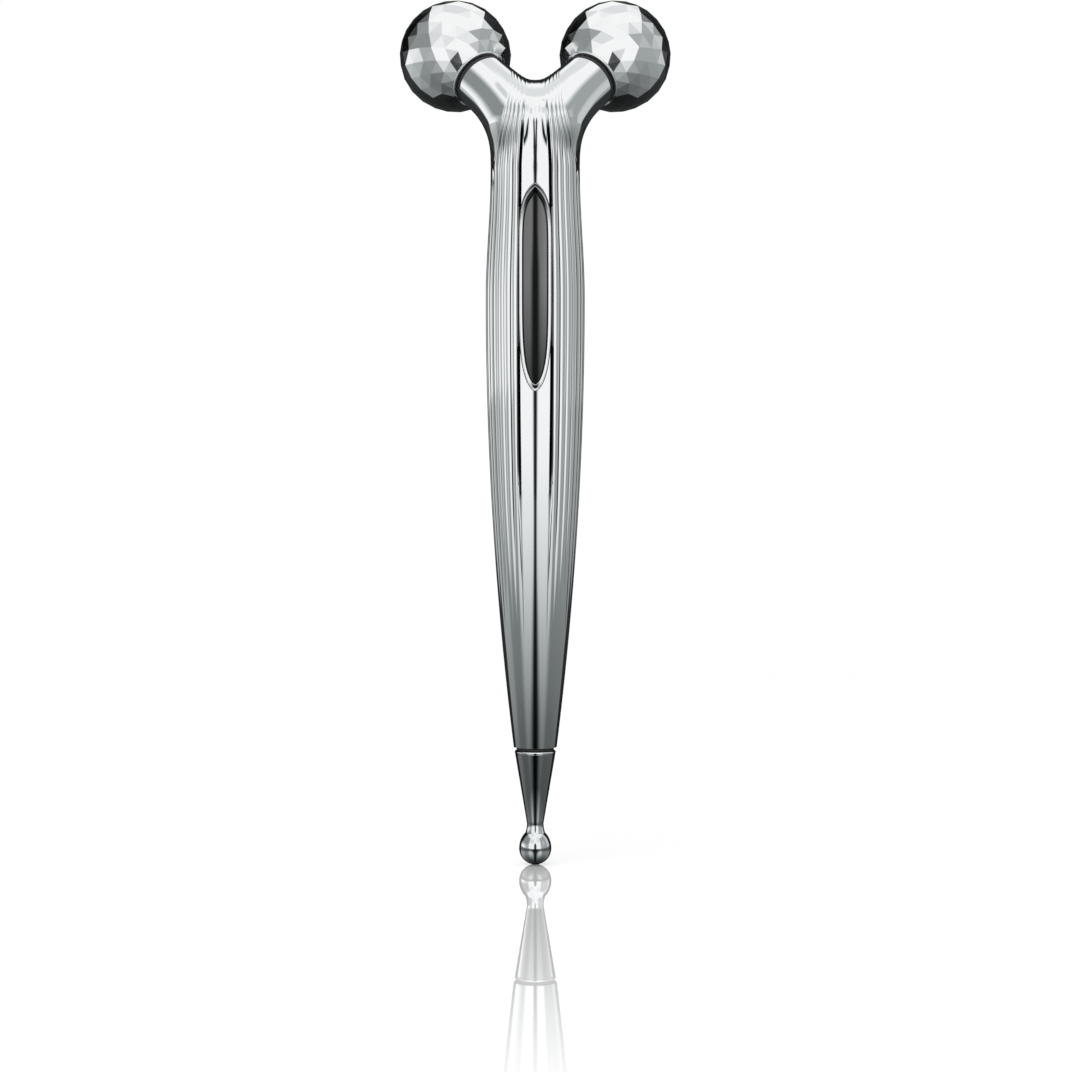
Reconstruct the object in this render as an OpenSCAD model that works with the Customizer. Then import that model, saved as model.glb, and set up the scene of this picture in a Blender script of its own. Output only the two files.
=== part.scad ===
// Facial toning roller: a fluted handle that forks into two short arms, a faceted ball turning
// on each arm, a light panel in the front and a small ball point at the foot.
// It stands upright on its point: +Z up, X across the balls, the panel faces -Y.
// The origin is the lowest point of the ball point. Sizes are millimetres and degrees.

/* [Handle] */
// Height of the housing's lower end
foot_z = 19.1; // [15:0.1:30]
// Width of the housing at its lower end
foot_w = 7; // [6:0.1:9]
// Height where the handle is widest
belly_z = 92; // [75:0.5:98]
// Width of the handle at its widest
belly_w = 16.1; // [14.5:0.1:22]
// Height of the neck below the fork
neck_z = 112.7; // [110:0.1:116]
// Width of the handle at the neck
neck_w = 14.5; // [13.5:0.1:17]
// Depth of the handle as a share of its width
flatness = 0.92; // [0.88:0.01:1.1]
// Wall of the two shells
wall = 1.2; // [0.8:0.05:1.6]
// Gap between the two shells
parting_gap = 0.06; // [0.02:0.01:0.2]

/* [Flutes] */
// Number of fine ribs round the handle, an even number
rib_count = 32; // [28:2:36]
// Angle that the two broad front ribs take together
broad_angle = 40; // [30:1:50]
// Depth of the grooves between fine ribs
rib_depth = 0.14; // [0.05:0.01:0.4]
// Depth of the groove on each side of the broad ribs
seam_depth = 0.42; // [0.1:0.01:0.6]
// Hollow of each broad rib
broad_hollow = 0.1; // [0:0.01:0.25]
// Height where the grooves start to show
rib_start_z = 34; // [25:1:45]
// Height where the grooves reach full depth
rib_full_z = 62; // [50:1:75]
// Height where the grooves beside the broad ribs start to deepen
seam_start_z = 55; // [45:0.5:60]
// Height where the grooves beside the broad ribs reach full depth
seam_full_z = 68; // [62:0.5:75]

/* [Fork] */
// Angle of each arm away from the middle plane
arm_spread = 32.3; // [28:0.1:36]
// Angle of each arm above the horizontal
arm_rise = 41; // [36:0.5:48]
// Diameter of each arm
arm_d = 9.4; // [8.8:0.1:10]
// Length of each arm that is straight
arm_straight = 2.3; // [1:0.1:4]
// Radius of the bend of each arm into the handle
arm_bend_r = 32; // [20:1:60]
// Angle of that bend
arm_bend = 14.5; // [8:0.5:22]
// Height of the handle's dome above the neck
dome_h = 14.3; // [12:0.1:16]
// Backward lean of the dome for each mm of height squared
dome_lean = 0.02; // [0:0.002:0.03]
// Width of the blend in the crotch between the arms
crotch_blend = 5.3; // [3:0.1:7]
// Width of the blend between arms and handle
fork_blend = 5.2; // [3:0.1:7]
// Half width of the fluted strip where it crosses the crotch
strip_top_w = 4.3; // [3.5:0.1:5]
// Drop from the neck to where arms and handle begin to blend
join_drop = 2.7; // [2:0.1:4]
// Rise from the neck to the middle of the fork's crown
crown_rise = 5.3; // [4.5:0.1:6]

/* [Balls] */
// Diameter of each ball over its corners
ball_d = 18.5; // [17.5:0.1:20]
// Distance between the ball centres
roller_span = 26.5; // [24.5:0.1:32]
// Height of the ball centres
roller_z = 132.4; // [130.5:0.1:136]
// Distance of the ball centres behind the handle's axis
roller_back = 9.8; // [9:0.1:12]
// Facets in one row round a ball
facet_count = 20; // [12:1:24]
// Rows of facets on a ball
facet_rows = 11; // [8:1:12]
// Polar angle of the flat end facet
pole_angle = 12; // [6:1:18]
// Diameter of a ball's mouth
mouth_d = 10.2; // [9.9:0.1:11]
// Thickness of the bright ring at the mouth
rim_t = 0.35; // [0.2:0.05:0.6]
// Thickness of the black ring on the arm
seal_t = 1; // [0.3:0.05:1.1]
// Clearance between the bright ring and the axle's shoulder
rim_gap = 0.35; // [0.2:0.05:0.5]

/* [Axles and bushes] */
// Diameter of an axle
axle_d = 3; // [2:0.1:3.4]
// Radial running clearance between axle and bush
run_gap = 0.04; // [0.02:0.01:0.08]
// End play between pieces that turn on each other
end_gap = 0.1; // [0.05:0.01:0.2]
// Radial clearance of pieces that are pressed or seated together
seat_gap = 0.03; // [0.02:0.01:0.06]
// Length of an axle inside the arm
axle_grip = 6.5; // [5.5:0.5:7]
// Diameter of an axle's shoulder
shoulder_d = 5.6; // [5:0.1:6]
// Outer diameter of a bush
bush_d = 5; // [4.6:0.1:5.4]
// Length of a bush
bush_len = 2.6; // [1.5:0.1:3.5]
// Flange diameter of a bush
flange_d = 6.1; // [5.8:0.1:6.6]
// Flange thickness of a bush
flange_t = 0.5; // [0.3:0.05:0.8]
// Distance of the outer bush beyond the ball's centre
outer_bush_w = 1.2; // [0.5:0.1:2]
// Outer diameter of the hub in a ball
hub_d = 8.2; // [7.8:0.1:8.6]
// Diameter of the hub's middle bore
hub_bore_d = 3.8; // [3.6:0.1:4.2]
// Thickness of a washer
washer_t = 0.3; // [0.2:0.05:0.5]
// Thickness of a clip
clip_t = 0.5; // [0.3:0.05:0.8]
// Outer diameter of a clip
clip_d = 4.8; // [4.4:0.1:5.4]
// Depth of the clip's groove
groove_depth = 0.3; // [0.2:0.05:0.5]
// Length of an axle past its clip
axle_past = 0.6; // [0.3:0.05:0.8]
// Length of the hub past the axle
hub_past = 0.3; // [0.2:0.05:0.5]

/* [Light panel] */
// Height of the panel's widest point
panel_z = 97.3; // [94:0.1:100]
// Height of the window above its widest point
panel_up = 11.1; // [9:0.1:13]
// Depth of the window below its widest point
panel_down = 19.3; // [14:0.1:22]
// Width of the window
window_w = 4; // [3:0.1:4.4]
// Width of the bezel's edge at the sides
bezel_w = 0.62; // [0.4:0.02:0.7]
// Length of the bezel past the window's lower end
bezel_foot = 1.2; // [0.8:0.1:1.6]
// Length of the bezel past the window's upper end
bezel_top = 1.8; // [0.8:0.1:2]
// Depth of the window's face below the handle's skin
window_sink = 0.25; // [0.1:0.01:0.4]
// Depth of the bezel's outer edge below the handle's skin
bezel_sink = 0.06; // [0.02:0.01:0.2]
// Depth of the bezel's inner edge below the handle's skin
bezel_inner_sink = 0.24; // [0.1:0.01:0.4]
// Clearance round the window and the bezel
panel_gap = 0.05; // [0.02:0.01:0.1]
// Depth of the panel's seat below the widest front
seat_depth = 1.5; // [1.3:0.05:1.8]
// Thickness of the gasket
gasket_t = 0.3; // [0.2:0.05:0.5]
// Thickness of the cell
cell_t = 0.4; // [0.3:0.05:0.6]
// Wall of the pocket behind the panel
pocket_wall = 0.8; // [0.6:0.05:1.1]
// Thickness of the ledge behind the cell
ledge_t = 0.5; // [0.4:0.05:0.8]
// Width of that ledge
ledge_w = 1.5; // [1.2:0.1:1.7]

/* [Frame and board] */
// Width of the frame's stem
stem_w = 6; // [5:0.1:7]
// Thickness of the frame's stem
stem_t = 2.4; // [1.8:0.1:2.8]
// Front face of the stem behind the handle's axis
stem_y = 0.9; // [0.7:0.1:1.2]
// Height of the stem's lower end
stem_foot_z = 62; // [58:0.5:68]
// Diameter of the frame's arm tubes
tube_d = 6.6; // [6:0.1:7]
// Height of the frame's fork block above the neck
block_rise = 3.8; // [3:0.1:5]
// Length of an arm tube past the inner end of its axle
tube_past = 1; // [0.6:0.1:1.5]
// Top of the handle's inner room above the neck
room_rise = 1.3; // [0.5:0.1:2]
// Clearance of the frame in the shells
frame_gap = 0.15; // [0.1:0.01:0.25]
// Width of the circuit board
board_w = 8; // [6.5:0.1:9]
// Thickness of the circuit board
board_t = 0.8; // [0.5:0.1:0.9]
// Height of the board's lower end
board_foot_z = 63.5; // [60:0.5:68]
// Height of the board's upper end
board_top_z = 112.5; // [108:0.5:114]
// Height of the lower frame screw
screw_low_z = 68.5; // [67:0.5:70]
// Height of the upper frame screw
screw_high_z = 111; // [110.6:0.1:111.2]
// Thread diameter of the frame screws
screw_d = 1.6; // [1.4:0.1:1.8]
// Head diameter of the frame screws
screw_head_d = 2.8; // [2.4:0.1:3.2]
// Head height of the frame screws
screw_head_t = 1; // [0.7:0.1:1.2]
// Diameter of the bosses that take the screws
boss_d = 3.2; // [2.8:0.1:3.6]
// Width of the chip
chip_w = 3.2; // [2:0.1:5]
// Length of the chip
chip_len = 4.2; // [2:0.1:5]
// Thickness of the chip
chip_t = 1; // [0.6:0.1:1.4]
// Distance of the chip's middle above the lower screw
chip_rise = 6; // [5:0.5:8]
// Diameter of the storage cell
store_d = 4; // [3:0.1:5]
// Thickness of the storage cell
store_t = 1.4; // [1:0.1:2]
// Distance of the storage cell's middle above the lower screw
store_rise = 13; // [11.5:0.5:16]
// Diameter of the contact pins
pin_d = 1.1; // [0.8:0.1:1.4]
// Distance of each contact pin from the panel's widest point
pin_reach = 6; // [4:0.5:8]
// Thickness of the contact leaf
leaf_t = 0.25; // [0.15:0.05:0.35]
// Width of the contact leaf
leaf_w = 3; // [2:0.1:4]
// Distance of the contact leaf's upper end below the lower boss
leaf_drop = 0.5; // [0.2:0.1:1]
// Forward bow of the contact leaf
leaf_bow = 3; // [1:0.1:3.4]
// Length of the contact leaf's foot behind its upper end
leaf_foot = 2; // [1:0.1:3]

/* [Weight and point] */
// Height of the floor inside the housing
floor_z = 24.3; // [22:0.1:30]
// Top of the handle weight
weight_top_z = 57.5; // [45:0.5:60]
// Clearance between the weight and the wall
weight_gap = 0.25; // [0.1:0.05:0.5]
// Diameter of the tip stud
stud_d = 2.6; // [2:0.1:2.9]
// Length of the stud inside the weight
stud_grip = 9; // [5:0.5:14]
// Lower end of the stud inside the point
stud_foot_z = 10.5; // [9.5:0.5:13]
// Diameter of the ball point
point_d = 5.24; // [4.6:0.01:7]
// Height of the ball point's upper half
point_rise = 3.2; // [2.6:0.1:4]
// Diameter of the neck above the ball point
point_neck_d = 2.7; // [2.4:0.1:3.2]
// Height of that neck
point_neck_z = 6.7; // [6.4:0.1:7.4]
// Diameter of the cone's upper end
cone_top_d = 6.55; // [6:0.05:7]
// Diameter of the bright collar
collar_d = 6.64; // [6:0.02:7]
// Thickness of the bright collar
collar_t = 0.55; // [0.3:0.05:0.9]
// Thickness of the dark ring under the housing
tip_seal_t = 0.55; // [0.3:0.05:0.9]
// Set-back of the dark ring behind the collar
tip_seal_set = 0.3; // [0.1:0.05:0.5]

/* [Hidden] */
$fn = 48;
eps = 0.01;
columns_per_rib = 3;
crown_ribs = 5;
broad_columns = 12;
handle_rows = 15;
room_rows = 14;
crown_rows = 22;
arm_rows = 6;

// Places and directions that follow from the sizes above.
rib_pitch = (360 - broad_angle) / rib_count;
spin_axis = [sin(arm_spread), cos(arm_spread) * cos(arm_rise), cos(arm_spread) * sin(arm_rise)];
ball_at = [roller_span / 2, roller_back, roller_z];
mouth_w = -sqrt(ball_d * ball_d - mouth_d * mouth_d) / 2;
rim_w = mouth_w - rim_t;
arm_end_w = rim_w - end_gap - seal_t;
arm_end = ball_at + arm_end_w * spin_axis;
bend_at = arm_end - arm_straight * spin_axis;
bend_dir = unit([0, 0, -1] + spin_axis.z * spin_axis);
bend_side = cross(spin_axis, bend_dir);
bend_end = arm_bend_r * [sin(arm_bend), 1 - cos(arm_bend)];

// Distances along a ball's axis, from its centre outward.
inner_bush_w = mouth_w + end_gap;
outer_flange_w = outer_bush_w + bush_len - flange_t;
washer_w = outer_bush_w + bush_len + end_gap;
clip_w = washer_w + washer_t + seat_gap;
axle_tip_w = clip_w + clip_t + axle_past;
hub_end_w = axle_tip_w + hub_past;
axle_bore_d = axle_d + 2 * run_gap;
rim_bore_d = shoulder_d + 2 * rim_gap;
seal_bore_d = shoulder_d + 2 * seat_gap;

// The stack behind the light panel, along Y from the front.
seat_y = seat_depth - belly_w / 2 * flatness;
cell_y = seat_y + gasket_t;
ledge_y = cell_y + cell_t;
ledge_back_y = ledge_y + ledge_t;
screw_tip_y = ledge_back_y + wall;
board_y = stem_y - board_t - seat_gap;
stem_back_y = stem_y + stem_t;
far_y = belly_w;

// Growth of the lens outline at its sides, its lower end and its upper end.
bezel_grow = [bezel_w, bezel_foot, bezel_top];
gap_grow = panel_gap * [1, 1, 1];
pocket_grow = bezel_grow + pocket_wall * [1, 1, 1];
ledge_grow = bezel_grow - ledge_w * [1, 2, 2];
lens_foot_power = 0.6;
lens_top_power = 0.8;

// Heights in the point and in the fork.
tip_seal_z = foot_z - tip_seal_t;
collar_z = tip_seal_z - collar_t;
weight_foot_z = floor_z + seat_gap;
join_z = neck_z - join_drop;
room_top_z = neck_z + room_rise;
fork_block_z = neck_z + block_rise;
crown_z = neck_z + crown_rise;
crown_y = 0.5;
tube_len = axle_grip + tube_past;
tube_end = arm_end - tube_len * spin_axis;

// ---- Form of the housing ----

function unit(v) = v / norm(v);
function ease(t) = let (c = min(max(t, 0), 1)) c * c * (3 - 2 * c);
function mix(a, b, t) = a + (b - a) * t;

// Half width of the handle: a parabola below the belly, an S-curve from there to the neck.
function half_w(z) = z < belly_z
    ? belly_w / 2 - (belly_w - foot_w) / 2 * pow((belly_z - z) / (belly_z - foot_z), 2)
    : belly_w / 2 - (belly_w - neck_w) / 2 * ease((z - belly_z) / (neck_z - belly_z));

// Smaller of two distances, with a rounded blend of width k between the two surfaces.
function blend(a, b, k) = let (h = max(k - abs(a - b), 0) / k) min(a, b) - h * h * h * k / 6;

// Distance to the right arm: a round bar that is straight at its end and then bends down.
function arm_gap(p) =
    let (
        rel = p - bend_at,
        u = -rel * spin_axis,
        v = rel * bend_dir,
        w = rel * bend_side,
        turn = u <= 0 ? 0 : atan2(u, arm_bend_r - v)
    )
    (u <= 0 ? norm([v, w])
        : turn < arm_bend ? norm([norm([u, arm_bend_r - v]) - arm_bend_r, w])
        : norm([u - bend_end.x, v - bend_end.y, w])) - arm_d / 2;

// Distance to the handle, an oval column that closes in a leaning dome above the neck.
function body_gap(p) =
    let (
        a = half_w(min(p.z, neck_z)),
        up = max(p.z - neck_z, 0),
        y = p.y - dome_lean * up * up
    )
    (norm([p.x / a, y / (a * flatness), up / dome_h]) - 1) * a * flatness;

// Distance to the whole housing.
function housing_gap(p) =
    blend(blend(arm_gap(p), arm_gap([-p.x, p.y, p.z]), crotch_blend), body_gap(p), fork_blend);

// Point where the ray from o along d leaves the housing, by halving the interval.
function skin(o, d, near = 0, far = 20, steps = 18) =
    let (mid = (near + far) / 2)
    steps == 0 ? o + mid * d
        : housing_gap(o + mid * d) < 0 ? skin(o, d, mid, far, steps - 1)
        : skin(o, d, near, mid, steps - 1);

// Outward normal of the housing, from the slope of the distance.
function skin_normal(p, h = 0.02) =
    unit([
        housing_gap(p + [h, 0, 0]) - housing_gap(p - [h, 0, 0]),
        housing_gap(p + [0, h, 0]) - housing_gap(p - [0, h, 0]),
        housing_gap(p + [0, 0, h]) - housing_gap(p - [0, 0, h])
    ]);

crotch_z = skin([0, crown_y, crown_z], [0, 0, 1]).z;

// ---- Flutes ----

// Columns run round the handle from the left edge of the broad ribs, towards +X.
column_count = broad_columns + rib_count * columns_per_rib;
strip_columns = broad_columns + 2 * crown_ribs * columns_per_rib;
side_columns = (column_count - 2 * strip_columns) / 2;
strip_first = -crown_ribs * columns_per_rib;
strip_last = strip_first + strip_columns;
rear_last = strip_last + side_columns + strip_columns;
loop_count = side_columns + crown_rows;
side_rows = 5;

function column_angle(i) = i >= 0 && i < broad_columns
    ? -broad_angle / 2 + i * broad_angle / broad_columns
    : i < 0 ? -broad_angle / 2 + i * rib_pitch / columns_per_rib
    : broad_angle / 2 + (i - broad_columns) * rib_pitch / columns_per_rib;
function column(i) = (i + column_count) % column_count;

// How far the grooves show at height z.
function groove_show(z) = ease((z - rib_start_z) / (rib_full_z - rib_start_z));
function seam_show(z) = ease((z - seam_start_z) / (seam_full_z - seam_start_z));
function crown_show(z) = 1 - 0.85 * ease((z - crown_z) / (crotch_z - crown_z));

// Depth of column i below the skin where the grooves show by s, and the two deep ones by d.
function groove(i, s, d = 1) =
    let (
        c = column(i),
        across = abs(column_angle(c)) / (broad_angle / 2),
        phase = ((c - broad_columns) % columns_per_rib) / columns_per_rib
    )
    c == 0 || c == broad_columns ? seam_depth * d * s * s * s + rib_depth * s
        : c < broad_columns ? broad_hollow * 4 * across * (1 - across) * s
        : rib_depth * pow(2 * phase - 1, 2) * s;

// Half width of the fluted strip, which narrows from the neck to the crotch.
function strip_half_w(z) =
    let (t = max((z - neck_z) / (crotch_z - neck_z), 0))
    mix(half_w(min(z, neck_z)), strip_top_w, t * t * 1.08 / (t + 0.08));

function oval(angle, z, inset = 0) = [
    (half_w(z) - inset) * sin(angle),
    -(half_w(z) * flatness - inset) * cos(angle),
    z
];

function handle_point(i, z) =
    let (t = column_angle(column(i)))
    oval(t, z) - groove(i, groove_show(z), seam_show(z)) * unit([flatness * sin(t), -cos(t), 0]);

// The strip climbs the front, crosses the crotch and comes down the back in crown_rows steps.
function strip_turn(k) = 180 * min(max((k - side_rows) / (crown_rows - 2 * side_rows), 0), 1);
function strip_z(k) = mix(join_z, crown_z, min(k, crown_rows - k, side_rows) / side_rows);
function strip_skin(j, k) =
    let (
        turn = strip_turn(k),
        z = strip_z(k),
        w = strip_half_w(z + (crotch_z - crown_z) * sin(turn)),
        side = mix(sin(column_angle(strip_first + j)), sin(column_angle(rear_last - j)),
            ease(k / crown_rows)),
        lift = ease((z - join_z) / (crown_z - join_z))
    )
    skin([w * side, crown_y * lift, z], [0, -cos(turn), sin(turn)]);
function strip_point(j, k) =
    let (
        p = strip_skin(j, k),
        s = crown_show(p.z),
        depth = mix(groove(strip_first + j, s), groove(rear_last - j, s), ease(k / crown_rows)),
        edge = ease(2 * min(j, strip_columns - j) / columns_per_rib)
    )
    p - depth * edge * skin_normal(p);

// Each arm grows out of a closed loop: the side of the neck and the edge of the strip.
function loop_skin(l) = l <= side_columns
    ? oval(column_angle(strip_last + l), join_z)
    : strip_skin(strip_columns, crown_rows - (l - side_columns));
function arm_angle(p) = atan2((p - arm_end) * bend_side, (p - arm_end) * bend_dir);
loop_low = arm_angle(oval(90, join_z));
function ring_angle(l) =
    let (
        even = (l - side_columns / 2) * 360 / loop_count,
        seen = arm_angle(loop_skin(l)) - loop_low,
        near = seen + 360 * round((even - seen) / 360)
    )
    loop_low + mix(even, near, 0.4);
function ring_point(l) =
    let (a = ring_angle(l)) arm_end + arm_d / 2 * (cos(a) * bend_dir + sin(a) * bend_side);
fork_core = [neck_w / 4, crown_y, crown_z];
function arm_point(l, r) =
    let (
        t = r / arm_rows,
        o = mix(fork_core, arm_end, t),
        toward = mix(loop_skin(l), ring_point(l), t),
        p = skin(o, unit(toward - o)),
        low = l <= side_columns ? 1 - ease(3 * t) : 0
    )
    p - (low > 0 ? groove(strip_last + l, low) * skin_normal(p) : [0, 0, 0]);

// ---- Mesh of the housing ----

strip_base = (handle_rows + 1) * column_count;
right_base = strip_base + (crown_rows - 1) * (strip_columns + 1);
left_base = right_base + arm_rows * loop_count;
cap_base = left_base + arm_rows * loop_count;

function handle_id(i, r) = r * column_count + column(i);
function strip_id(j, k) = k == 0 ? handle_id(strip_first + j, handle_rows)
    : k == crown_rows ? handle_id(rear_last - j, handle_rows)
    : strip_base + (k - 1) * (strip_columns + 1) + j;
function right_id(l, r) =
    let (m = l % loop_count)
    r > 0 ? right_base + (r - 1) * loop_count + m
        : m <= side_columns ? handle_id(strip_last + m, handle_rows)
        : strip_id(strip_columns, crown_rows - (m - side_columns));
function left_id(l, r) =
    let (m = l % loop_count)
    r > 0 ? left_base + (r - 1) * loop_count + m
        : m <= side_columns ? handle_id(broad_columns - strip_last - m, handle_rows)
        : strip_id(0, crown_rows - (m - side_columns));
function quad(a, b, c, d) = [[a, b, c], [a, c, d]];
function flip(p) = [-p.x, p.y, p.z];

right_arm_points = [for (r = [1:arm_rows], l = [0:loop_count - 1]) arm_point(l, r)];
housing_points = concat(
    [for (r = [0:handle_rows], i = [0:column_count - 1])
        handle_point(i, mix(foot_z, join_z, r / handle_rows))],
    [for (k = [1:crown_rows - 1], j = [0:strip_columns]) strip_point(j, k)],
    right_arm_points,
    [for (p = right_arm_points) flip(p)],
    [[0, 0, foot_z], arm_end, flip(arm_end)]
);
housing_faces = concat(
    [for (r = [0:handle_rows - 1], i = [0:column_count - 1], f = quad(
        handle_id(i, r), handle_id(i, r + 1), handle_id(i + 1, r + 1), handle_id(i + 1, r))) f],
    [for (k = [0:crown_rows - 1], j = [0:strip_columns - 1], f = quad(
        strip_id(j, k), strip_id(j, k + 1), strip_id(j + 1, k + 1), strip_id(j + 1, k))) f],
    [for (r = [0:arm_rows - 1], l = [0:loop_count - 1], f = quad(
        right_id(l, r), right_id(l, r + 1), right_id(l + 1, r + 1), right_id(l + 1, r))) f],
    [for (r = [0:arm_rows - 1], l = [0:loop_count - 1], f = quad(
        left_id(l, r), left_id(l + 1, r), left_id(l + 1, r + 1), left_id(l, r + 1))) f],
    [for (i = [0:column_count - 1]) [cap_base, handle_id(i, 0), handle_id(i + 1, 0)]],
    [for (l = [0:loop_count - 1]) [cap_base + 1, right_id(l + 1, arm_rows), right_id(l, arm_rows)]],
    [for (l = [0:loop_count - 1]) [cap_base + 2, left_id(l, arm_rows), left_id(l + 1, arm_rows)]]
);

module housing() {
    polyhedron(points = housing_points, faces = housing_faces, convexity = 12);
}

// Smooth oval body between two heights, a wall's thickness or less inside the skin.
module body_loft(z0, z1, inset, rows, sides = 36) {
    ring = [for (r = [0:rows], i = [0:sides - 1]) oval(i * 360 / sides, mix(z0, z1, r / rows), inset)];
    walls = [for (r = [0:rows - 1], i = [0:sides - 1], f = quad(
        r * sides + i, (r + 1) * sides + i,
        (r + 1) * sides + (i + 1) % sides, r * sides + (i + 1) % sides)) f];
    ends = [for (i = [1:sides - 2], f = [[0, i, i + 1],
        [rows * sides, rows * sides + i + 1, rows * sides + i]]) f];
    polyhedron(points = ring, faces = concat(walls, ends), convexity = 4);
}

// ---- Light panel ----

// Half width of a lens outline, rounder at its lower end than at its upper one.
function lens_half(z, half, up, down) = z > panel_z
    ? half * pow(max(1 - pow((z - panel_z) / up, 5), 0), lens_top_power)
    : half * pow(max(1 - pow((panel_z - z) / down, 5), 0), lens_foot_power);

// Lens outline grown at its sides and ends, from the lower point round.
function lens_outline(grow, steps = 10) =
    let (
        half = window_w / 2 + grow.x,
        down = panel_down + grow.y,
        up = panel_up + grow.z,
        heights = concat(
            [for (i = [0:steps]) panel_z - down * cos(90 * i / steps)],
            [for (i = [1:steps]) panel_z + up * sin(90 * i / steps)]
        ),
        right = [for (z = heights) [lens_half(z, half, up, down), z]]
    )
    concat(right, [for (i = [len(right) - 2:-1:1]) [-right[i].x, right[i].y]]);

// Point of the handle's skin above a flat outline's point, sunk by a depth.
function on_skin(p, sink) =
    let (w = half_w(p.y) - sink, d = half_w(p.y) * flatness - sink)
    [p.x, -d * sqrt(1 - pow(p.x / w, 2)), p.y];

// Flat lens plate between two Y values.
module lens_plate(grow, y0, y1) {
    translate([0, y1, 0])
        rotate([90, 0, 0])
            linear_extrude(y1 - y0)
                polygon(lens_outline(grow));
}

// Lens whose face follows the handle's skin, in ribbons from side to side, on a flat back.
module lens_block(sink, y1, columns = 8) {
    outline = lens_outline([0, 0, 0]);
    n = len(outline);
    rows = n / 2;
    face = [for (k = [1:rows - 1], j = [1:columns - 1])
        on_skin([outline[k].x * (1 - 2 * j / columns), outline[k].y], sink)];
    function face_id(k, j) = k == 0 ? 0 : k == rows ? rows
        : j == 0 ? k : j == columns ? n - k
        : 2 * n + (k - 1) * (columns - 1) + j - 1;
    ribbons = [for (k = [0:rows - 1], j = [0:columns - 1], f = quad(
        face_id(k, j), face_id(k + 1, j), face_id(k + 1, j + 1), face_id(k, j + 1)))
        if (f[0] != f[1] && f[1] != f[2] && f[2] != f[0]) f];
    sides = [for (i = [0:n - 1], f = quad(i, n + i, n + (i + 1) % n, (i + 1) % n)) f];
    polyhedron(
        points = concat([for (p = outline) on_skin(p, sink)], [for (p = outline) [p.x, y1, p.y]], face),
        faces = concat(ribbons, sides, [[for (i = [n - 1:-1:0]) n + i]])
    );
}

// Ring between two lens outlines on a flat back. Its face follows the handle's skin and
// slopes from one depth below it at the inner edge to another at the outer edge.
module lens_ring(inner_grow, inner_sink, outer_grow, outer_sink, y1) {
    outer = lens_outline(outer_grow);
    inner = lens_outline(inner_grow);
    n = len(outer);
    faces = [for (k = [0:3], i = [0:n - 1], f = quad(
        k * n + i, (k + 1) % 4 * n + i, (k + 1) % 4 * n + (i + 1) % n, k * n + (i + 1) % n)) f];
    polyhedron(
        points = concat(
            [for (p = outer) on_skin(p, outer_sink)],
            [for (p = outer) [p.x, y1, p.y]],
            [for (p = inner) [p.x, y1, p.y]],
            [for (p = inner) on_skin(p, inner_sink)]
        ),
        faces = faces
    );
}

module panel_window() {
    color([0.1, 0.11, 0.12])
        lens_block(window_sink, seat_y);
}

module panel_bezel() {
    color([0.85, 0.86, 0.87])
        lens_ring(gap_grow, bezel_inner_sink, bezel_grow, bezel_sink, seat_y);
}

module panel_gasket() {
    color([0.05, 0.05, 0.05])
        difference() {
            lens_plate(bezel_grow, seat_y, cell_y);
            lens_plate(-bezel_grow, seat_y - eps, cell_y + eps);
        }
}

module solar_cell() {
    color([0.06, 0.07, 0.14])
        lens_plate(bezel_grow, cell_y, ledge_y);
}

// ---- Housing shells ----

// Frame of the fork: a flat stem, a block at the fork and a tube in each arm, grown by g.
module frame_body(g = 0) {
    translate([-stem_w / 2 - g, stem_y - g, stem_foot_z - g])
        cube([stem_w + 2 * g, stem_t + 2 * g, fork_block_z - stem_foot_z + 1 + 2 * g]);
    translate([-tube_end.x - g, -stem_t - g, fork_block_z - g])
        cube([2 * tube_end.x + 2 * g, stem_back_y + stem_t + 2 * g, tube_end.z - fork_block_z + 2 * g]);
    for (m = [0, 1])
        mirror([m, 0, 0])
            on_axis()
                translate([0, 0, arm_end_w - tube_len - g])
                    cylinder(d = tube_d + 2 * g, h = tube_len + 2 * g);
}

// Region in front of the parting surface, or behind it: upright in the handle and leaning
// back through both axles in the fork.
module parting_side(front) {
    lean = spin_axis.y / spin_axis.z;
    bend_z = arm_end.z - arm_end.y / lean;
    shift = front ? -parting_gap / 2 : parting_gap / 2;
    back = front ? -far_y : 4 * far_y;
    top = roller_z + ball_d;
    line = [[shift, 0], [shift, bend_z], [(top - bend_z) * lean + shift, top]];
    rotate([90, 0, 90])
        translate([0, 0, -roller_span])
            linear_extrude(2 * roller_span)
                polygon(concat(line, [[back, top], [back, 0]]));
}

module shell_room() {
    body_loft(floor_z, room_top_z, wall, room_rows);
    frame_body(frame_gap);
    translate([0, 0, foot_z - 1])
        cylinder(d = stud_d + 4 * seat_gap, h = floor_z - foot_z + 2);
}

module front_shell() {
    color([0.78, 0.79, 0.8])
        resize([0, 0, 0])
            difference() {
                intersection() {
                    housing();
                    parting_side(true);
                }
                difference() {
                    shell_room();
                    lens_plate(pocket_grow, -far_y, ledge_back_y);
                    for (z = [screw_low_z, screw_high_z])
                        screw_line(z, board_y - seat_gap, boss_d, far_y);
                }
                lens_plate(bezel_grow + gap_grow, -far_y, ledge_y);
                lens_plate(ledge_grow, -far_y, 0);
                for (z = [screw_low_z, screw_high_z])
                    screw_line(z, board_y, screw_d + 2 * seat_gap, board_y - screw_tip_y + 2 * seat_gap);
            }
}

module rear_shell() {
    color([0.76, 0.77, 0.78])
        resize([0, 0, 0])
            difference() {
                intersection() {
                    housing();
                    parting_side(false);
                }
                shell_room();
            }
}

// ---- Frame, board and contacts ----

module on_axis() {
    translate(ball_at)
        rotate([0, acos(spin_axis.z), atan2(spin_axis.y, spin_axis.x)])
            children();
}

module screw_line(z, y, d, h) {
    translate([0, y, z])
        rotate([90, 0, 0])
            cylinder(d = d, h = h);
}

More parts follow.
